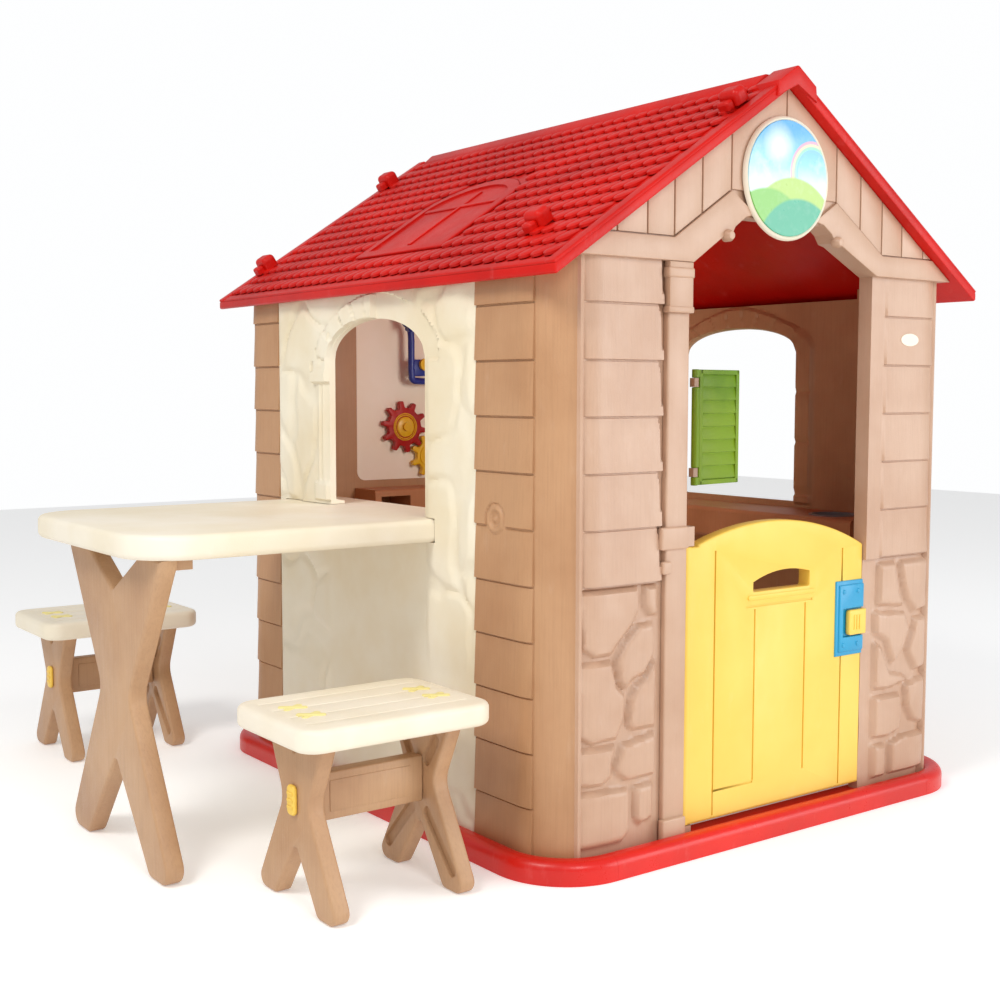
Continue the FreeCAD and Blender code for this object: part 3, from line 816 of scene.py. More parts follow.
def toArch(win, y, z):
    # distance outside the opening, and how far round it is
    if z > win["spring"]:
        mid = (win["y0"] + win["y1"]) / 2
        a = (y - mid) / ((win["y1"] - win["y0"]) / 2)
        b = (z - win["spring"]) / win["rise"]
        size = (abs(a) ** 2.2 + abs(b) ** 2.2) ** (1 / 2.2)
        reach = math.hypot(y - mid, z - win["spring"])
        return reach * (1 - 1 / size) if size > 1 else -1.0, math.atan2(z - win["spring"] + 0.05, y - mid)
    return max(win["y0"] - y, y - win["y1"]), None


def stucco(y, z, seed):
    p = Vector((y * 6.5, z * 6.5, seed))
    drift = Vector((noise.noise(p * 1.7), noise.noise(p * 1.7 + Vector((5, 3, 1))), 0))
    near = noise.voronoi(p + 0.35 * drift)[0]
    crease = ease((near[1] - near[0]) / 0.16)
    patch = ease(noise.noise(Vector((y * 3.1, z * 3.1, seed + 4))) * 2.4 + 0.75)
    soft = noise.noise(Vector((y * 14, z * 14, seed))) * 0.0012
    return 0.0062 * crease * patch + soft


def leftWall():
    low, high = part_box("left_wall")
    win = leftWindow
    slotLow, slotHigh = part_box("table_top")
    slotLow -= Vector((0, 1, 1)) * 0.001
    slotHigh += Vector((0, 1, 1)) * 0.001
    us = ticks(low.y, high.y, 0.0052, [win["y0"], win["y1"], slotLow.y, slotHigh.y])
    vs = ticks(low.z, high.z, 0.0052, [slotLow.z, slotHigh.z, win["sill"], win["spring"]])

    def keep(y, z):
        inWindow = win["y0"] < y < win["y1"] and slotLow.z < z < win["spring"]
        inSlot = slotLow.y < y < slotHigh.y and slotLow.z < z < slotHigh.z
        return not inWindow and not inSlot

    def relief(y, z):
        rim = min(y - low.y, high.y - y, high.z - z) / 0.012
        away, turn = toArch(win, y, z)
        behind = y > (win["y0"] + win["y1"]) / 2
        height = stucco(y, z, 2.0) * ease(away / 0.02)
        if turn is not None and 0 <= away < 0.046:
            stone = turn * 3.6
            joint = abs((stone % 1) - 0.5) * 2
            proud = 0.009 if behind else 0.0
            height = (proud - 0.55 * proud * ease((joint - 0.86) / 0.08)) * (0.8 + 0.2 * (int(stone) % 2))
            height *= ease((0.046 - away) / 0.005) * ease(away / 0.004 + 0.3)
        elif behind and turn is None and 0 <= away < 0.066 and z > win["sill"]:
            if z > 0.748:
                reach = 0.064 if z < 0.766 or z > 0.785 else 0.056
                height = (0.011 if z < 0.766 else 0.0085) * ease((reach - away) / 0.004)
            elif away < 0.050:
                flute = math.cos(away / 0.050 * math.tau * 3)
                height = (0.0045 + 0.0022 * flute) * ease((0.050 - away) / 0.004)
                if z < win["sill"] + 0.032:
                    height = 0.008
            height *= ease(away / 0.004 + 0.3)
        return height * clamp(rim)

    def place(y, z, w):
        h = archWarp(win, y, z, high.z)
        if w == 0:
            return Vector((low.x - relief(y, h), y, h))
        thin = (1 - ease(toArch(win, y, h)[0] / 0.035)) if h > win["sill"] - 0.001 else 0.0
        return Vector((high.x - thin * (high.x - low.x - lipThick), y, h))

    return slab(us, vs, place, keep)


def rightWall():
    low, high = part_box("right_wall")
    win = rightWindow
    us = ticks(low.y, high.y, 0.0055, [win["y0"], win["y1"]])
    vs = ticks(low.z, high.z, shell["boardStep"], [win["sill"], win["spring"]] + lineTicks(boardLines()))

    def keep(y, z):
        return not (win["y0"] < y < win["y1"] and win["sill"] < z < win["spring"])

    def surround(y, z):
        away, turn = toArch(win, y, z)
        if away < -0.5 or z < win["sill"] - 0.05:
            return None
        if away < 0.047 and z > win["sill"]:
            along = turn * 3.0 if turn is not None else z / 0.105
            joint = abs((along % 1) - 0.5) * 2
            height = 0.007 * ease((0.047 - away) / 0.006) * ease(away / 0.004 + 0.4)
            return height - 0.0035 * ease((joint - 0.88) / 0.08) if away < 0.044 else height
        if win["sill"] - 0.035 < z <= win["sill"] and away < 0.06:
            return 0.008
        return None

    def outside(y, z):
        made = surround(y, z)
        if made is not None:
            return made
        return lap(z) if min(y - low.y, high.y - y) > 0.006 else 0.0

    def place(y, z, w):
        h = archWarp(win, y, z, high.z)
        away = toArch(win, y, h)[0]
        thin = 1 - ease(away / 0.03) if h > win["sill"] - 0.001 else 0.0
        if w == 0:
            return Vector((high.x + outside(y, h) * (1 - thin) - thin * (high.x - low.x - lipThick), y, h))
        inside = surround(y, h) if h > win["sill"] else None
        return Vector((low.x - (inside or 0.0), y, h))

    return slab(us, vs, place, keep)


piece("sideWallLeft", leftWall(), "creamShell", ["left_wall"])
piece("sideWallRight", rightWall(), "tanShell", ["right_wall"])
print("side walls made")

roof = {
    "rim": 0.024,
    "rimRise": 0.004,
    "tileWide": 0.0300,
    "tileRows": 14,
    "tileLift": 0.0068,
    "tileThick": 0.0042,
    "dormer": (0.530, 0.142, 0.108, 0.275, 0.372),  # middle y, half width, start, spring and top up the slope
    "dormerRise": 0.005,
}
eave = Vector((roofLow.x, 0, ridgeZ + slope * roofLow.x))
slopeUp = Vector((1, 0, slope)).normalized()
slopeOut = Vector((-slopeUp.z, 0, slopeUp.x))
slopeLength = -roofLow.x / slopeUp.x


def onRoof(a, b, c):
    # a runs along the eave, b up the slope, c out of it
    return Vector((eave.x, 0, eave.z)) + Vector((0, a, 0)) + slopeUp * b + slopeOut * c


def layOnRoof(bm):
    for v in bm.verts:
        v.co = onRoof(*v.co)
    bmesh.ops.recalc_face_normals(bm, faces=bm.faces)
    return bm


def scale():
    w = roof["tileWide"] * 0.88
    steps = 6
    turns = [math.pi * i / steps for i in range(steps + 1)]
    arc = [(-w / 2 * math.cos(t), 0.013 * (1 - math.sin(t))) for t in turns]
    outline = arc + [(w / 2, 0.044), (-w / 2, 0.044)]
    bm = plate(outline, "z", 0, roof["tileThick"])
    under = [f for f in bm.faces if f.calc_center_median().z < 1e-5]
    bmesh.ops.delete(bm, geom=under, context="FACES_ONLY")
    top = [f for f in bm.faces if f.normal.z > 0.9]
    bmesh.ops.inset_region(bm, faces=top, thickness=0.0030, depth=0.0018, use_even_offset=True)
    bmesh.ops.inset_region(bm, faces=top, thickness=0.0036, depth=0.0010, use_even_offset=True)
    turnAbout(bm, -math.atan(roof["tileLift"] / 0.042), "X")
    bmesh.ops.translate(bm, vec=(0, 0, roof["tileLift"] - roof["tileThick"]), verts=bm.verts)
    mesh = bpy.data.meshes.new("scale")
    bm.to_mesh(mesh)
    bm.free()
    return mesh


def inDormer(a, b, grow):
    mid, half, start, spring, top = roof["dormer"]
    if b < start - grow:
        return False
    if b < spring:
        return abs(a - mid) < half + grow
    return ((a - mid) / (half + grow)) ** 2 + ((b - spring) / (top - spring + grow)) ** 2 < 1


def tiles(low, high):
    pitch = (slopeLength - roof["rim"] - 0.012) / roof["tileRows"]
    mesh = scale()
    bm = bmesh.new()
    count = round((high - low) / roof["tileWide"])
    wide = (high - low) / count
    for row in range(roof["tileRows"]):
        b = roof["rim"] - 0.004 + row * pitch
        odd = row % 2
        for i in range(count - odd):
            a = low + (i + 0.5 + odd * 0.5) * wide
            if inDormer(a, b + 0.02, 0.012):
                continue
            before = len(bm.verts)
            bm.from_mesh(mesh)
            bm.verts.ensure_lookup_table()
            bmesh.ops.translate(bm, vec=(a, b, 0), verts=bm.verts[before:])
    return bm


def dormer():
    mid, half, start, spring, top = roof["dormer"]

    def outline(grow, low):
        steps = 18
        wide, tall = half + grow, top - spring + grow
        turns = [math.pi * i / steps for i in range(steps + 1)]
        arc = [(mid + wide * math.cos(t), spring + tall * math.sin(t)) for t in turns]
        return arc + [(mid - half - grow, low), (mid + half + grow, low)]

    rise = roof["dormerRise"]
    ring = plate(outline(0, start), "z", 0.0, rise, edge=0.004, segments=3)
    sunk = plate(outline(-0.024, start + 0.02), "z", rise - 0.004, rise + 0.01)
    ring = carve(ring, [sunk])
    low = rise - 0.005
    inner = half - 0.028
    post = brick((mid - 0.004, start + 0.03, low), (mid + 0.004, spring + 0.055, rise - 0.001), 0.0012, 1)
    rail = brick((mid - inner, spring - 0.005, low), (mid + inner, spring + 0.005, rise - 0.0008), 0.0012, 1)
    return join(soften(ring, 0.0012, 1), post, rail)


def roofHalf():
    y0, y1 = roofLow.y, roofHigh.y
    x = roofLow.x
    gap = 0.0002  # half the gap between the two halves
    sheet = [(-gap, ridgeZ - slope * gap), (-gap, ridgeZ - roofThick),
             (x, eave.z - roofThick, 0.004), (x, eave.z, 0.006)]
    base = plate(sheet, "y", y0, y1, edge=0.003)
    rim = roof["rim"]
    rise = roof["rimRise"]
    bars = [
        brick((y0, 0.0005, -0.002), (y0 + rim, slopeLength - 0.004, rise), 0.003, 3),
        brick((y1 - rim, 0.0005, -0.002), (y1, slopeLength - 0.004, rise), 0.003, 3),
        brick((y0 + rim - 0.004, 0.0005, -0.002), (y1 - rim + 0.004, rim - 0.006, rise - 0.001), 0.003, 3),
    ]
    cover = join(*bars, tiles(y0 + rim, y1 - rim), dormer())
    return join(base, layOnRoof(cover))


def ridgeCap():
    side = 0.036
    foot = ridgeZ - slope * side
    top = ridgeZ + 0.006
    outline = [(-side, foot + 0.003), (-side + 0.004, foot + 0.013), (-0.012, top, 0.008),
               (0.012, top, 0.008), (side - 0.004, foot + 0.013), (side, foot + 0.003), (0, ridgeZ - 0.012)]
    cap = plate(outline, "y", roofLow.y + 0.055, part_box("ridge_cap")[1].y, edge=0.002)
    wide = 0.046
    foot = ridgeZ - slope * wide
    block = [(-wide, foot - 0.012), (-wide + 0.003, foot + 0.013, 0.003), (0, ridgeZ + 0.011, 0.004),
             (wide - 0.003, foot + 0.013, 0.003), (wide, foot - 0.012), (0, ridgeZ - 0.020)]
    front = plate(block, "y", roofLow.y - 0.004, roofLow.y + 0.05, edge=0.002)
    return join(cap, front)


def makeRoof():
    piece("roofLeft", roofHalf(), "roofRed", ["roof_left"])
    piece("roofRight", mirrored(roofHalf(), "x"), "roofRed", ["roof_right"])
    piece("ridgeCap", ridgeCap(), "roofRed", ["ridge_cap"])
    dress("roofRed", "roof_blocks")


makeRoof()
print("roof made")

gable = {
    "band": 0.0355,  # height of the plain band above the walls
    "boards": (0.360, 0.300, 0.245, 0.187, 0.124),
    "knee": 0.246,
    "gap": 0.0026,
    "shoulder": 0.124,
    "lift": 1.046,  # top of the moulding above the mouth
    "knobs": ((-0.133, 0.975), (0.126, 0.981)),
}


def frontGable():
    low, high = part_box("front_gable")
    z0 = low.z
    half = roofReach(z0)
    mouth = [(-0.205, z0), (-0.136, 0.977), (-0.124, 0.976, 0.003), (-0.116, 0.990, 0.003),
             (-0.092, 1.007, 0.004), (0.092, 1.007, 0.004), (0.112, 0.994, 0.003), (0.122, 0.980, 0.003),
             (0.136, 0.977), (0.232, z0)]
    outline = [(-half, z0)] + mouth + [(half, z0), (0, underRoof(0))]
    parts = [plate(outline, "y", -0.0035, high.y)]
    bandTop = z0 + gable["band"]
    outer = roofReach(bandTop)
    knee, lift, shoulder, gap = (gable[k] for k in ("knee", "lift", "shoulder", "gap"))

    def foot(x):
        rise = (lift - bandTop) * (knee - x) / (knee - shoulder) if x <= knee else 0.0
        return bandTop + 0.002 + rise

    for side in (-1, 1):
        edge = [p for p in mouth if p[0] * side > 0]
        edge = edge if side < 0 else edge[::-1]
        bends = ((0.070, 1.012), (shoulder, lift), (knee, bandTop), (outer, bandTop))
        top = [(side * x, z) for x, z in bends]
        band = [(side * half, z0)] + edge + top
        parts.append(plate(band, "y", -0.0105, -0.002, edge=0.0018))
        xs = (outer,) + gable["boards"] + (0.0,)
        for x0, x1 in zip(xs, xs[1:]):
            a, b = x0 - gap / 2, x1 + gap / 2
            footA, footB = (foot(a), foot(b)) if x1 else (foot(shoulder), foot(shoulder))
            shape = [(side * a, footA), (side * b, footB), (side * b, underRoof(b)), (side * a, underRoof(a))]
            if x1 and a > knee > b:
                shape.insert(1, (side * knee, bandTop + 0.002))
            if shape[-1][1] - shape[0][1] < 0.004:
                shape = shape[:-1]
            parts.append(plate(shape, "y", -0.0078, -0.002, edge=0.0014))
    knob = [(0, -0.021), (0.006, -0.0195), (0.0095, -0.014), (0.0095, -0.004), (0, -0.004)]
    for x, z in gable["knobs"]:
        parts.append(turned(knob, "y", (x, 0, z), 20))
    return join(*parts)


def backGable():
    low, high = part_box("back_gable")
    z0 = low.z
    half = roofReach(z0)
    foot = z0 + 0.038
    outer = roofReach(foot) - 0.001
    parts = [plate([(-half, z0), (half, z0), (0, underRoof(0))], "y", low.y, high.y - 0.006)]
    band = [(-half, z0), (half, z0), (outer, foot - 0.002), (-outer, foot - 0.002)]
    parts.append(plate(band, "y", high.y - 0.008, high.y + 0.001, edge=0.0018))
    marks = gable["boards"] + (0.062,)
    xs = [-outer, *(-x for x in marks), 0.0, *reversed(marks), outer]
    for a, b in zip(xs, xs[1:]):
        a, b = a + gable["gap"] / 2, b - gable["gap"] / 2
        topA, topB = (max(foot + 0.001, underRoof(x)) for x in (a, b))
        shape = [(a, foot), (b, foot), (b, topB), (a, topA)]
        parts.append(plate(shape, "y", high.y - 0.008, high.y - 0.002, edge=0.0012))
    return join(*parts)


def badge():
    low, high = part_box("badge_plate")
    centre = (low + high) / 2
    r = (high.x - low.x) / 2
    depth = high.y - low.y
    y = depth / 2
    profile = [(0, y), (r - 0.001, y), (r, y - 0.001), (r, 0.0), (r - 0.0015, -y), (r - 0.004, -y - 0.0022),
               (r - 0.0068, -y), (0, -y)]
    piece("badgePlate", turned(profile, "y", centre, 72), "creamSmooth", ["badge_plate"])
    low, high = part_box("badge_picture")
    centre = (low + high) / 2
    r = (high.x - low.x) / 2
    look["badgePrint"] = badgePrint(tuple(centre), r)
    profile = [(0, 0.001), (r, 0.001), (r, -0.0004), (r - 0.0006, -0.001), (0, -0.001)]
    piece("badgePicture", turned(profile, "y", centre, 72), "badgePrint", ["badge_picture"])


post = {
    "cap": 0.853,  # where the capital starts
    # mouldings: left overhang, front, lower end, right overhang, back, upper end, edge, edge segments
    "mouldings": [
        (0.006, -0.012, 0.905, 0.002, 0.004, 0.921, 0.003, 3),
        (0.005, -0.011, 0.852, 0.002, 0.004, 0.862, 0.002, 2),
        (0.012, -0.009, 0.488, -0.001, 0.004, 0.523, 0.003, 3),
    ],
    "foot": 0.062,
}


def doorPost():
    low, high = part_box("door_post")
    x0, x1, z0 = low.x, high.x, low.z
    left, right, foot = x0 - 0.003, x1 + 0.001, post["cap"]
    shaft = brick((x0 + 0.001, -0.003, z0), (x1, high.y, high.z), 0.003, 3)
    outline = [(left, foot), (right, foot), (right, high.z), (left, high.z)]
    parts = [shaft, plate(outline, "y", -0.010, 0.004, edge=0.003)]
    for west, front, bottom, east, back, top, edge, segments in post["mouldings"]:
        parts.append(brick((x0 - west, front, bottom), (x1 + east, back, top), edge, segments))
    parts.append(brick((x0 - 0.008, -0.008, 0.450), (x0 + 0.010, 0.002, 0.470), 0.003, 3))
    parts.append(brick((x0 - 0.004, -0.009, z0 + 0.001), (x1 - 0.001, 0.004, post["foot"]), 0.003, 3))
    return join(*parts)


# gables and door post take the lighter tan: painted light of the lit front
piece("frontGable", frontGable(), "tanSmoothLit", ["front_gable"])
piece("backGable", backGable(), "tanSmoothLit", ["back_gable"])
badge()
piece("doorPost", doorPost(), "tanSmoothLit", ["door_post"])
dress("creamSmooth", "name_plate")
print("gables and post made")

door = {
    # x, lower end, upper end
    "grooves": [(-0.134, 0.045, 0.478), (-0.041, 0.088, 0.375), (0.082, 0.088, 0.375), (0.176, 0.045, 0.462)],
    "crossGrooves": [(-0.134, -0.041, 0.0855), (-0.062, 0.100, 0.3800)],  # from x, to x, height
    "grooveWide": 0.0036,
    "grooveDeep": 0.003,
    "slot": (-0.046, 0.092, 0.403, 0.434),
    "arch": ((0.030, 0.519), 0.466, 0.4905),  # a point on it, its right and left ends' heights
    "barrelTop": 0.488,
    "latchCut": (0.159, 0.272, 0.404),  # its left edge, lower and upper end
    "edge": 0.0035,
}


def arcThrough(a, b, c, steps):
    # points on the circle through three points, from a to c
    ax, az, bx, bz, cx, cz = *a, *b, *c
    d = 2 * (ax * (bz - cz) + bx * (cz - az) + cx * (az - bz))
    aa, bb, cc = ax * ax + az * az, bx * bx + bz * bz, cx * cx + cz * cz
    ux = (aa * (bz - cz) + bb * (cz - az) + cc * (az - bz)) / d
    uz = (aa * (cx - bx) + bb * (ax - cx) + cc * (bx - ax)) / d
    r = math.hypot(ax - ux, az - uz)
    start = math.atan2(az - uz, ax - ux)
    end = math.atan2(cz - uz, cx - ux)
    turns = [start + (end - start) * i / steps for i in range(steps + 1)]
    return [(ux + r * math.cos(t), uz + r * math.sin(t)) for t in turns]


def doorPanel():
    low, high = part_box("door_panel")
    front = low.y
    back = high.y
    hinge = low.x + 0.012
    z0 = low.z
    middle, rightEnd, leftEnd = door["arch"]
    arc = arcThrough((high.x, rightEnd), middle, (hinge + 0.021, leftEnd), 22)
    top = door["barrelTop"]
    outline = [(hinge, z0, 0.003), (high.x, z0, 0.003), (*arc[0], 0.004)] + arc[1:]
    outline += [(hinge + 0.0205, top - 0.001), (hinge, top - 0.001)]
    bm = plate(outline, "y", front, back, edge=door["edge"], segments=3)
    x0, x1, s0, s1 = door["slot"]
    crown = arcThrough((x1, s1 - 0.005), (x0 + 0.7 * (x1 - x0), s1 + 0.002), (x0, s1 - 0.014), 12)
    cutters = [plate([(x0, s0, 0.004), (x1, s0, 0.004)] + crown, "y", front - 0.02, back + 0.02)]
    w = door["grooveWide"] / 2
    deep = front + door["grooveDeep"]
    for x, a, b in door["grooves"]:
        cutters.append(brick((x - w, front - 0.01, a), (x + w, deep, b), 0))
    for a, b, z in door["crossGrooves"]:
        cutters.append(brick((a, front - 0.01, z - w), (b, deep - 0.0012, z + w), 0))
    latchX, latchLow, latchHigh = door["latchCut"]
    cutters.append(brick((latchX, front - 0.02, latchLow), (high.x + 0.01, front + 0.004, latchHigh), 0))
    bm = soften(carve(bm, cutters), 0.0011, 2, 0.9)
    profile = [(0, z0), (0.0105, z0), (0.012, z0 + 0.0015), (0.012, top - 0.0015), (0.0105, top), (0, top)]
    barrel = turned(profile, "z", (hinge, (front + back) / 2, 0), 28)
    x0, x1 = x0 - 0.012, x1 + 0.012
    z0, z1 = s0 - 0.013, s0 - 0.005
    ledge = [(x0, z0, 0.006), (x1, z0, 0.006), (x1, z1, 0.003), (x0, z1, 0.003)]
    lip = plate(ledge, "y", front - 0.0022, front + 0.002, edge=0.0012)
    return join(bm, barrel, lip)


latch = {"opening": (0.176, 0.305, 0.355), "screwInset": 0.019, "ribs": 3, "ribPitch": 0.007}


def latchPlate():
    low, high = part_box("latch_plate")
    y0 = low.y
    x, bottom, top = latch["opening"]
    border = brick((low.x, y0 + 0.0025, low.z), (high.x, high.y, high.z), 0.002, 3)
    raised = brick((low.x + 0.007, y0, low.z + 0.007), (high.x, y0 + 0.005, high.z - 0.007), 0.0016, 2)
    parts = []
    for layer in (border, raised):
        cutter = brick((x, y0 - 0.01, bottom), (high.x + 0.01, y0 + 0.0065, top), 0)
        parts.append(soften(carve(layer, [cutter]), 0.0008, 1))
    screw = [(0, y0 - 0.0022), (0.003, y0 - 0.0018), (0.0045, y0), (0, y0)]
    for z in (low.z + latch["screwInset"], high.z - latch["screwInset"]):
        for x in (low.x + 0.018, high.x - 0.016):
            parts.append(turned(screw, "y", (x, 0, z), 18))
    return join(*parts)


def latchSlider():
    low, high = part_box("latch_slider")
    outline = [(low.x, low.z, 0.005), (high.x, low.z, 0.002), (high.x, high.z, 0.002), (low.x, high.z, 0.005)]
    parts = [plate(outline, "y", low.y, high.y, edge=0.0022, segments=3)]
    z0, z1 = low.z + 0.009, high.z - 0.009
    for i in range(latch["ribs"]):
        x = low.x + 0.012 + i * latch["ribPitch"]
        parts.append(brick((x, low.y - 0.0016, z0), (x + 0.003, low.y + 0.001, z1), 0.0008, 2))
    return join(*parts)


shutter = {
    "slats": 8,
    "slatTilt": 7,
    "frame": 0.012,
    "foot": 0.520,
    "top": 0.782,
    "wide": 0.158,
    "half": 0.007,  # half its thickness
    "open": 98,
}


def shutterLeaf(side, pivot):
    # built closed beside its pins, then swung open to where the frame's leaf stands
    z0, z1, wide, t, fr = (shutter[k] for k in ("foot", "top", "wide", "half", "frame"))
    parts = [
        brick((-t, 0.009, z0 + 0.001), (t, 0.009 + fr, z1 - 0.001), 0.002),
        brick((-t, wide - fr, z0 + 0.001), (t, wide, z1 - 0.001), 0.002),
        brick((-t, 0.010, z0 + 0.001), (t, wide - 0.001, z0 + fr), 0.002),
        brick((-t, 0.010, z1 - fr), (t, wide - 0.001, z1 - 0.001), 0.002),
        brick((-0.0022, 0.012, z0 + 0.006), (0.0022, wide - 0.004, z1 - 0.006), 0.0),
    ]
    pitch = (z1 - z0 - 2 * fr) / shutter["slats"]
    for i in range(shutter["slats"]):
        z = z0 + fr + (i + 0.5) * pitch
        slat = brick((-0.0045, 0.018, -pitch * 0.46), (0.0045, wide - 0.008, pitch * 0.46), 0.002)
        turnAbout(slat, math.radians(shutter["slatTilt"]), "Y")
        bmesh.ops.translate(slat, vec=(0, 0, z), verts=slat.verts)
        parts.append(slat)
    ends = [z0 + 0.0005, z0 + 0.0195, z0 + 0.0405, z1 - 0.0405, z1 - 0.0195, z1 - 0.0005]
    for a, b in zip(ends[::2], ends[1::2]):
        profile = [(0, a), (0.0068, a), (0.008, a + 0.0012), (0.008, b - 0.0012), (0.0068, b), (0, b)]
        parts.append(turned(profile, "z", (0, 0, 0), 24))
        parts.append(brick((-0.006, 0.003, a + 0.0005), (0.006, 0.014, b - 0.0005), 0.001, 1))
    bm = join(*parts)
    if side < 0:
        mirrored(bm, "y")
    turnAbout(bm, math.radians(-side * shutter["open"]), "Z")
    bmesh.ops.translate(bm, vec=pivot, verts=bm.verts)
    return bm


def makeDoors():
    piece("doorPanel", doorPanel(), "doorYellow", ["door_panel"], "door")
    piece("latchPlate", latchPlate(), "latchBlue", ["latch_plate"], "door")
    piece("latchSlider", latchSlider(), "doorYellow", ["latch_slider"], "latch")
    for joint in frame["joints"]:
        node = joint["child"]
        if node.startswith("shutter_"):
            side = 1 if node == "shutter_front" else -1
            label = "shutterFront" if side > 0 else "shutterBack"
            leaf = shutterLeaf(side, Vector((*joint["pos_m"][:2], 0)))
            piece(label, leaf, "shutterGreen", [node], node)
    dress("tanSmoothLit", "hinge_lugs", "shutter_lugs")
    dress("pinMetal", "door_pins", "shutter_pins")


makeDoors()
print("door and shutters made")


gears = {
    "module": 0.010,
    "rootDepth": 0.008,
    "tipRise": 0.0063,
    "hole": 0.0051,
    "redTeeth": 10,
    "redTurn": -45,  # degrees
    "yellowTeeth": 8,
    "yellowTurn": 157.5,
    "roseRings": (0.0275, 0.024),
}


def wheel(node, teeth, turn):
    low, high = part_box(node)
    x, z = (low.x + high.x) / 2, (low.z + high.z) / 2
    pitch = teeth * gears["module"] / 2
    root, tip = pitch - gears["rootDepth"], pitch + gears["tipRise"]
    points = []
    for i in range(teeth):
        mid = math.radians(turn) + i * math.tau / teeth
        for r, part in ((root, -0.26), (tip, -0.13), (tip, 0.13), (root, 0.26)):
            a = mid + part * math.tau / teeth
            points.append((x + r * math.cos(a), z + r * math.sin(a), 0.003))
    bm = plate(points, "y", low.y, high.y, edge=0.0016, segments=3, cornerSegments=3)
    at = Vector((x, low.y, z))
    r = gears["hole"]
    hole = turned([(0, -0.03), (r, -0.03), (r, 0.03), (0, 0.03)], "y", at + Vector((0, 0.006, 0)), 24)
    return carve(bm, [hole]), at, root


crank = {
    # x and z of the bar's line, from the handle end to the foot
    "route": [(-0.1165, 0.884), (-0.1035, 0.872), (-0.096, 0.862), (-0.0945, 0.846), (-0.0945, 0.768),
              (-0.0925, 0.756), (-0.080, 0.7525), (-0.036, 0.7525)],
    "thick": 0.0072,
    "ball": 0.0082,
    "hub": ((-0.092, 0.764), (-0.046, 0.800)),
}


def crankBar(y):
    curve = bpy.data.curves.new("bar", "CURVE")
    curve.dimensions = "3D"
    curve.bevel_depth = crank["thick"]
    curve.bevel_resolution = 5
    curve.use_fill_caps = True
    line = curve.splines.new("NURBS")
    line.points.add(len(crank["route"]) - 1)
    for point, (x, z) in zip(line.points, crank["route"]):
        point.co = (x, y, z, 1)
    line.order_u = 3
    line.use_endpoint_u = True
    guide = bpy.data.objects.new("bar", curve)
    scene.collection.objects.link(guide)
    mesh = bpy.data.meshes.new_from_object(guide.evaluated_get(bpy.context.evaluated_depsgraph_get()))
    bm = bmesh.new()
    bm.from_mesh(mesh)
    bpy.data.objects.remove(guide)
    bmesh.ops.remove_doubles(bm, verts=bm.verts, dist=1e-6)
    bmesh.ops.recalc_face_normals(bm, faces=bm.faces)
    for x, z in (crank["route"][0], crank["route"][-1]):
        ball = bmesh.new()
        bmesh.ops.create_icosphere(ball, subdivisions=3, radius=crank["ball"])
        bmesh.ops.translate(ball, vec=(x, y, z), verts=ball.verts)
        bm = join(bm, ball)
    (x0, z0), (x1, z1) = crank["hub"]
    return join(bm, brick((x0, y - 0.004, z0), (x1, y + 0.004, z1), 0.002))


def makeToys():
    red, at, _ = wheel("gear_red", gears["redTeeth"], gears["redTurn"])
    piece("gearRed", red, "toyRed", ["gear_red"], "gear_red")
    r = gears["hole"] + 0.0001
    profile = [(r, -0.0005), (r, -0.004), (0.019, -0.004), (0.0215, -0.0025), (0.022, 0.0), (r, 0.0)]
    rose = turned(profile, "y", at, 40)
    for r in gears["roseRings"]:
        profile = [(r, 0.0), (r + 0.0006, -0.0016), (r + 0.002, -0.0016), (r + 0.0026, 0.0)]
        rose = join(rose, turned(profile, "y", at, 40))
    piece("gearRose", rose, "toyYellow", ["gear_red_rose"], "gear_red")
    yellow, at, root = wheel("gear_yellow", gears["yellowTeeth"], gears["yellowTurn"])
    profile = [(root - 0.006, 0.001), (root - 0.007, -0.0018), (root - 0.012, -0.0018), (root - 0.013, 0.001)]
    yellow = join(yellow, turned(profile, "y", at, 40))
    piece("gearYellow", yellow, "toyYellow", ["gear_yellow"], "gear_yellow")
    low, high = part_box("crank_arm")
    arm = crankBar((low.y + high.y) / 2)
    piece("crankArm", arm, "crankBlue", ["crank_arm"], "crank")
    low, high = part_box("crank_knob")
    x, z = (low.x + high.x) / 2, (low.z + high.z) / 2
    r = (high.x - low.x) / 2
    profile = [(0, low.y), (r * 0.7, low.y + 0.001), (r, low.y + 0.005), (r * 0.8, low.y + 0.012),
               (r * 0.7, high.y), (0, high.y)]
    knob = turned(profile, "y", (x, 0, z), 32)
    piece("crankKnob", knob, "crankBlue", ["crank_knob"], "crank")
    dress("toyYellow", "crank_axle", "gear_axles")
    # the play panel takes the paler cream: painted light in the shaded inside
    dress("panelCreamLit", "play_panel")
    dress("innerBrown", "side_counter", "back_counter")
    dress("sinkGrey", "sink_bowl")


makeToys()
print("toys made")


def bar(start, end, wide, axis, low, high):
    # a round-ended bar between two points of a plane
    a, b = Vector(start), Vector(end)
    side = Vector((-(b - a).y, (b - a).x)).normalized() * wide / 2
    corners = (a - side, b - side, b + side, a + side)
    return plate([(*c, wide * 0.49) for c in corners], axis, low, high)


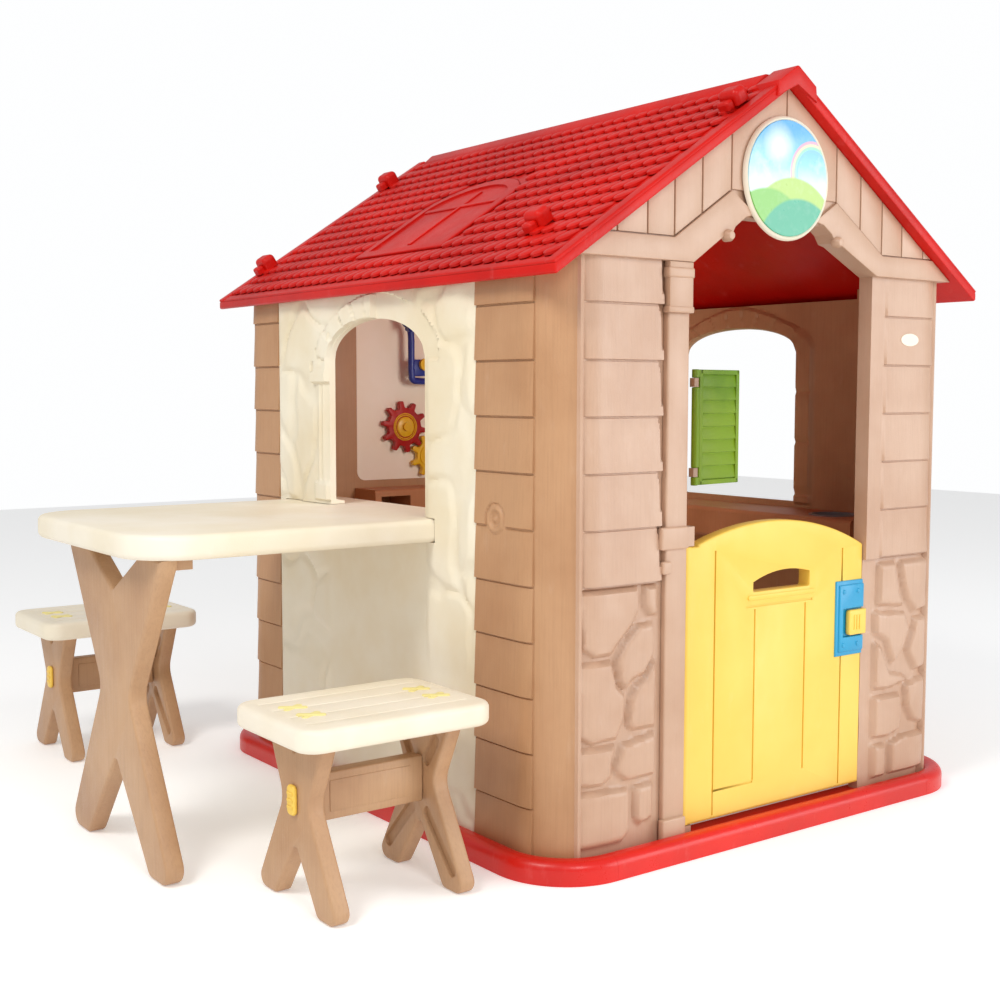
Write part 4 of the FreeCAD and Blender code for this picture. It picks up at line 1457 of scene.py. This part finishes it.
def crossLeg(x, y, shape, top, thick, inward):
    # an X of two limbs with a wide joined waist; a channel runs down the inner side of each limb
    waist, halfTop, halfFoot, halfWaist, k, pocket = shape
    rise = top - waist
    outer, inner = k * 0.28, k * 0.20  # corner radii of a foot
    points = [
        (-halfTop, top), (-halfTop + k, top), (0, waist + rise * 0.72, 0.006), (halfTop - k, top),
        (halfTop, top), (halfWaist, waist, 0.035), (halfFoot, 0, outer), (halfFoot - k, 0, inner),
        (0, waist * 0.60, 0.008), (-halfFoot + k, 0, inner), (-halfFoot, 0, outer),
        (-halfWaist, waist, 0.035),
    ]
    outline = [(y + p[0], *p[1:]) for p in points]
    leg = plate(outline, "x", x - thick / 2, x + thick / 2, edge=thick * 0.17, segments=3, cornerSegments=7)
    face = x + inward * thick / 2
    span = sorted((face - inward * pocket, face + inward * 0.02))
    cutters = []
    for side in (-1, 1):
        footEnd = (y + side * (halfFoot - k * 0.47), k * 0.42)
        topEnd = (y + side * (halfTop - k * 0.5), top - k * 0.35)
        crossing = y + side * halfWaist * 0.42
        cutters.append(bar(footEnd, (crossing, waist * 0.72), k * 0.34, "x", *span))
        cutters.append(bar(topEnd, (crossing, waist + rise * 0.26), k * 0.34, "x", *span))
    return soften(carve(leg, cutters), 0.0016, 2, 1.2)


table = {
    "corners": (0.095, 0.030),  # radius at the free end and at the wall
    "edge": 0.010,
    # waist height, half width at the top, foot and waist, limb width, channel depth
    "leg": (0.262, 0.195, 0.212, 0.058, 0.084, 0.009),
}


def makeTable():
    low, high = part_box("table_top")
    big, small = table["corners"]
    outline = [(low.x, low.y, big), (high.x, low.y, small), (high.x, high.y, small), (low.x, high.y, big)]
    top = plate(outline, "z", low.z, high.z, edge=table["edge"], segments=5, cornerSegments=10)
    piece("tableTop", top, "creamSmooth", ["table_top"])
    low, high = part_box("table_leg")
    x, y = (low.x + high.x) / 2, (low.y + high.y) / 2
    leg = crossLeg(x, y, table["leg"], high.z, high.x - low.x, 1)
    piece("tableLeg", leg, "brownLeg", ["table_leg"])
    dress("brownLeg", "table_brackets")


stool = {
    "corner": 0.034,
    "grooves": (-0.072, -0.024, 0.024, 0.072),  # from the seat's middle line
    "grooveHalf": 0.0022,
    "grooveDeep": 0.0030,
    "grooveInset": 0.026,
    "plug": (0.021, 0.005, 0.004),  # half length, half width, corner radius of each bar
    "plugTurn": 32,
    "leg": (0.152, 0.080, 0.122, 0.036, 0.060, 0.007),  # as the table's
    "keyHalf": (0.011, 0.022),
    "keyThick": 0.007,
}


def crossPlug(x, y, z):
    parts = []
    long, wide, r = stool["plug"]
    outline = [(-long, -wide, r), (long, -wide, r), (long, wide, r), (-long, wide, r)]
    # the second bar stands a little higher, so that their tops never share a plane
    for turn, lift in ((stool["plugTurn"], 0.0), (-stool["plugTurn"], 0.0006)):
        strip = plate(outline, "z", -0.0045, 0.0015, edge=0.0012)
        turnAbout(strip, math.radians(turn), "Z")
        bmesh.ops.translate(strip, vec=(x, y, z + lift), verts=strip.verts)
        parts.append(strip)
    return parts


def seatTop(low, high, yc):
    r = stool["corner"]
    outline = [(low.x, low.y, r), (high.x, low.y, r), (high.x, high.y, r), (low.x, high.y, r)]
    seat = plate(outline, "z", low.z, high.z, edge=0.009, segments=5, cornerSegments=8)
    x0, x1 = low.x + stool["grooveInset"], high.x - stool["grooveInset"]
    bottom, half = high.z - stool["grooveDeep"], stool["grooveHalf"]
    top = high.z + 0.01
    cutters = [brick((x0, yc + y - half, bottom), (x1, yc + y + half, top), 0) for y in stool["grooves"]]
    return soften(carve(seat, cutters), 0.001, 2, 0.9)


def stretcher(low, high, yc, mid, legThick):
    x0, x1 = low.x + legThick + 0.0008, high.x - legThick - 0.0008
    parts = [
        brick((x0, yc - 0.0128, low.z), (x1, yc + 0.0128, high.z), 0.003, 3),
        brick((low.x, yc - 0.0095, mid - 0.0195), (high.x, yc + 0.0095, mid + 0.0195), 0.001, 1),
    ]
    for y0, y1 in ((yc - 0.0142, yc - 0.010), (yc + 0.010, yc + 0.0142)):
        parts.append(brick((low.x + 0.05, y0, low.z + 0.012), (high.x - 0.05, y1, high.z - 0.012), 0.0015, 2))
    return join(*parts)


def keys(low, high, yc, mid):
    parts = []
    wide, tall = stool["keyHalf"]
    r = 0.008
    y0, y1, z0, z1 = yc - wide, yc + wide, mid - tall, mid + tall
    shape = [(y0, z0, r), (y1, z0, r), (y1, z1, r), (y0, z1, r)]
    for side, at in ((-1, low.x), (1, high.x)):
        x0, x1 = sorted((at, at - side * stool["keyThick"]))
        parts.append(plate(shape, "x", x0, x1, edge=0.003, segments=3))
        x0, x1 = sorted((at, at + side * 0.0012))
        for z in (mid - 0.010, mid, mid + 0.010):
            parts.append(brick((x0, yc - 0.008, z - 0.0022), (x1, yc + 0.008, z + 0.0022), 0.0005, 1))
    return join(*parts)


def makeStool(row):
    body = "stool_" + row
    name = "stool" + row.capitalize()
    low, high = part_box(body + "_seat")
    yc = (low.y + high.y) / 2
    piece(name + "Seat", seatTop(low, high, yc), "creamSmooth", [body + "_seat"], body)
    plugLow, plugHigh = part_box(body + "_plugs")
    plugs = []
    for x in (plugLow.x + 0.008, plugHigh.x - 0.008):
        for y in (plugLow.y + 0.008, plugHigh.y - 0.008):
            plugs += crossPlug(x, y, high.z)
    piece(name + "Plugs", join(*plugs), "paleYellow", [body + "_plugs"], body)
    for side, inward in (("left", 1), ("right", -1)):
        node = body + "_leg_" + side
        low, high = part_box(node)
        legThick = high.x - low.x
        leg = crossLeg((low.x + high.x) / 2, yc, stool["leg"], high.z, legThick, inward)
        piece(name + "Leg" + side.capitalize(), leg, "brownLeg", [node], body)
    low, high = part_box(body + "_stretcher")
    mid = (low.z + high.z) / 2 + 0.001
    tie = stretcher(low, high, yc, mid, legThick)
    piece(name + "Stretcher", tie, "brownLeg", [body + "_stretcher"], body)
    low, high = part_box(body + "_keys")
    piece(name + "Keys", keys(low, high, yc, mid), "doorYellow", [body + "_keys"], body)


makeTable()
for row in ("front", "back"):
    makeStool(row)
dress("redShell", "base_front", "base_back", "base_left", "base_right")
print("table, stools and base made")
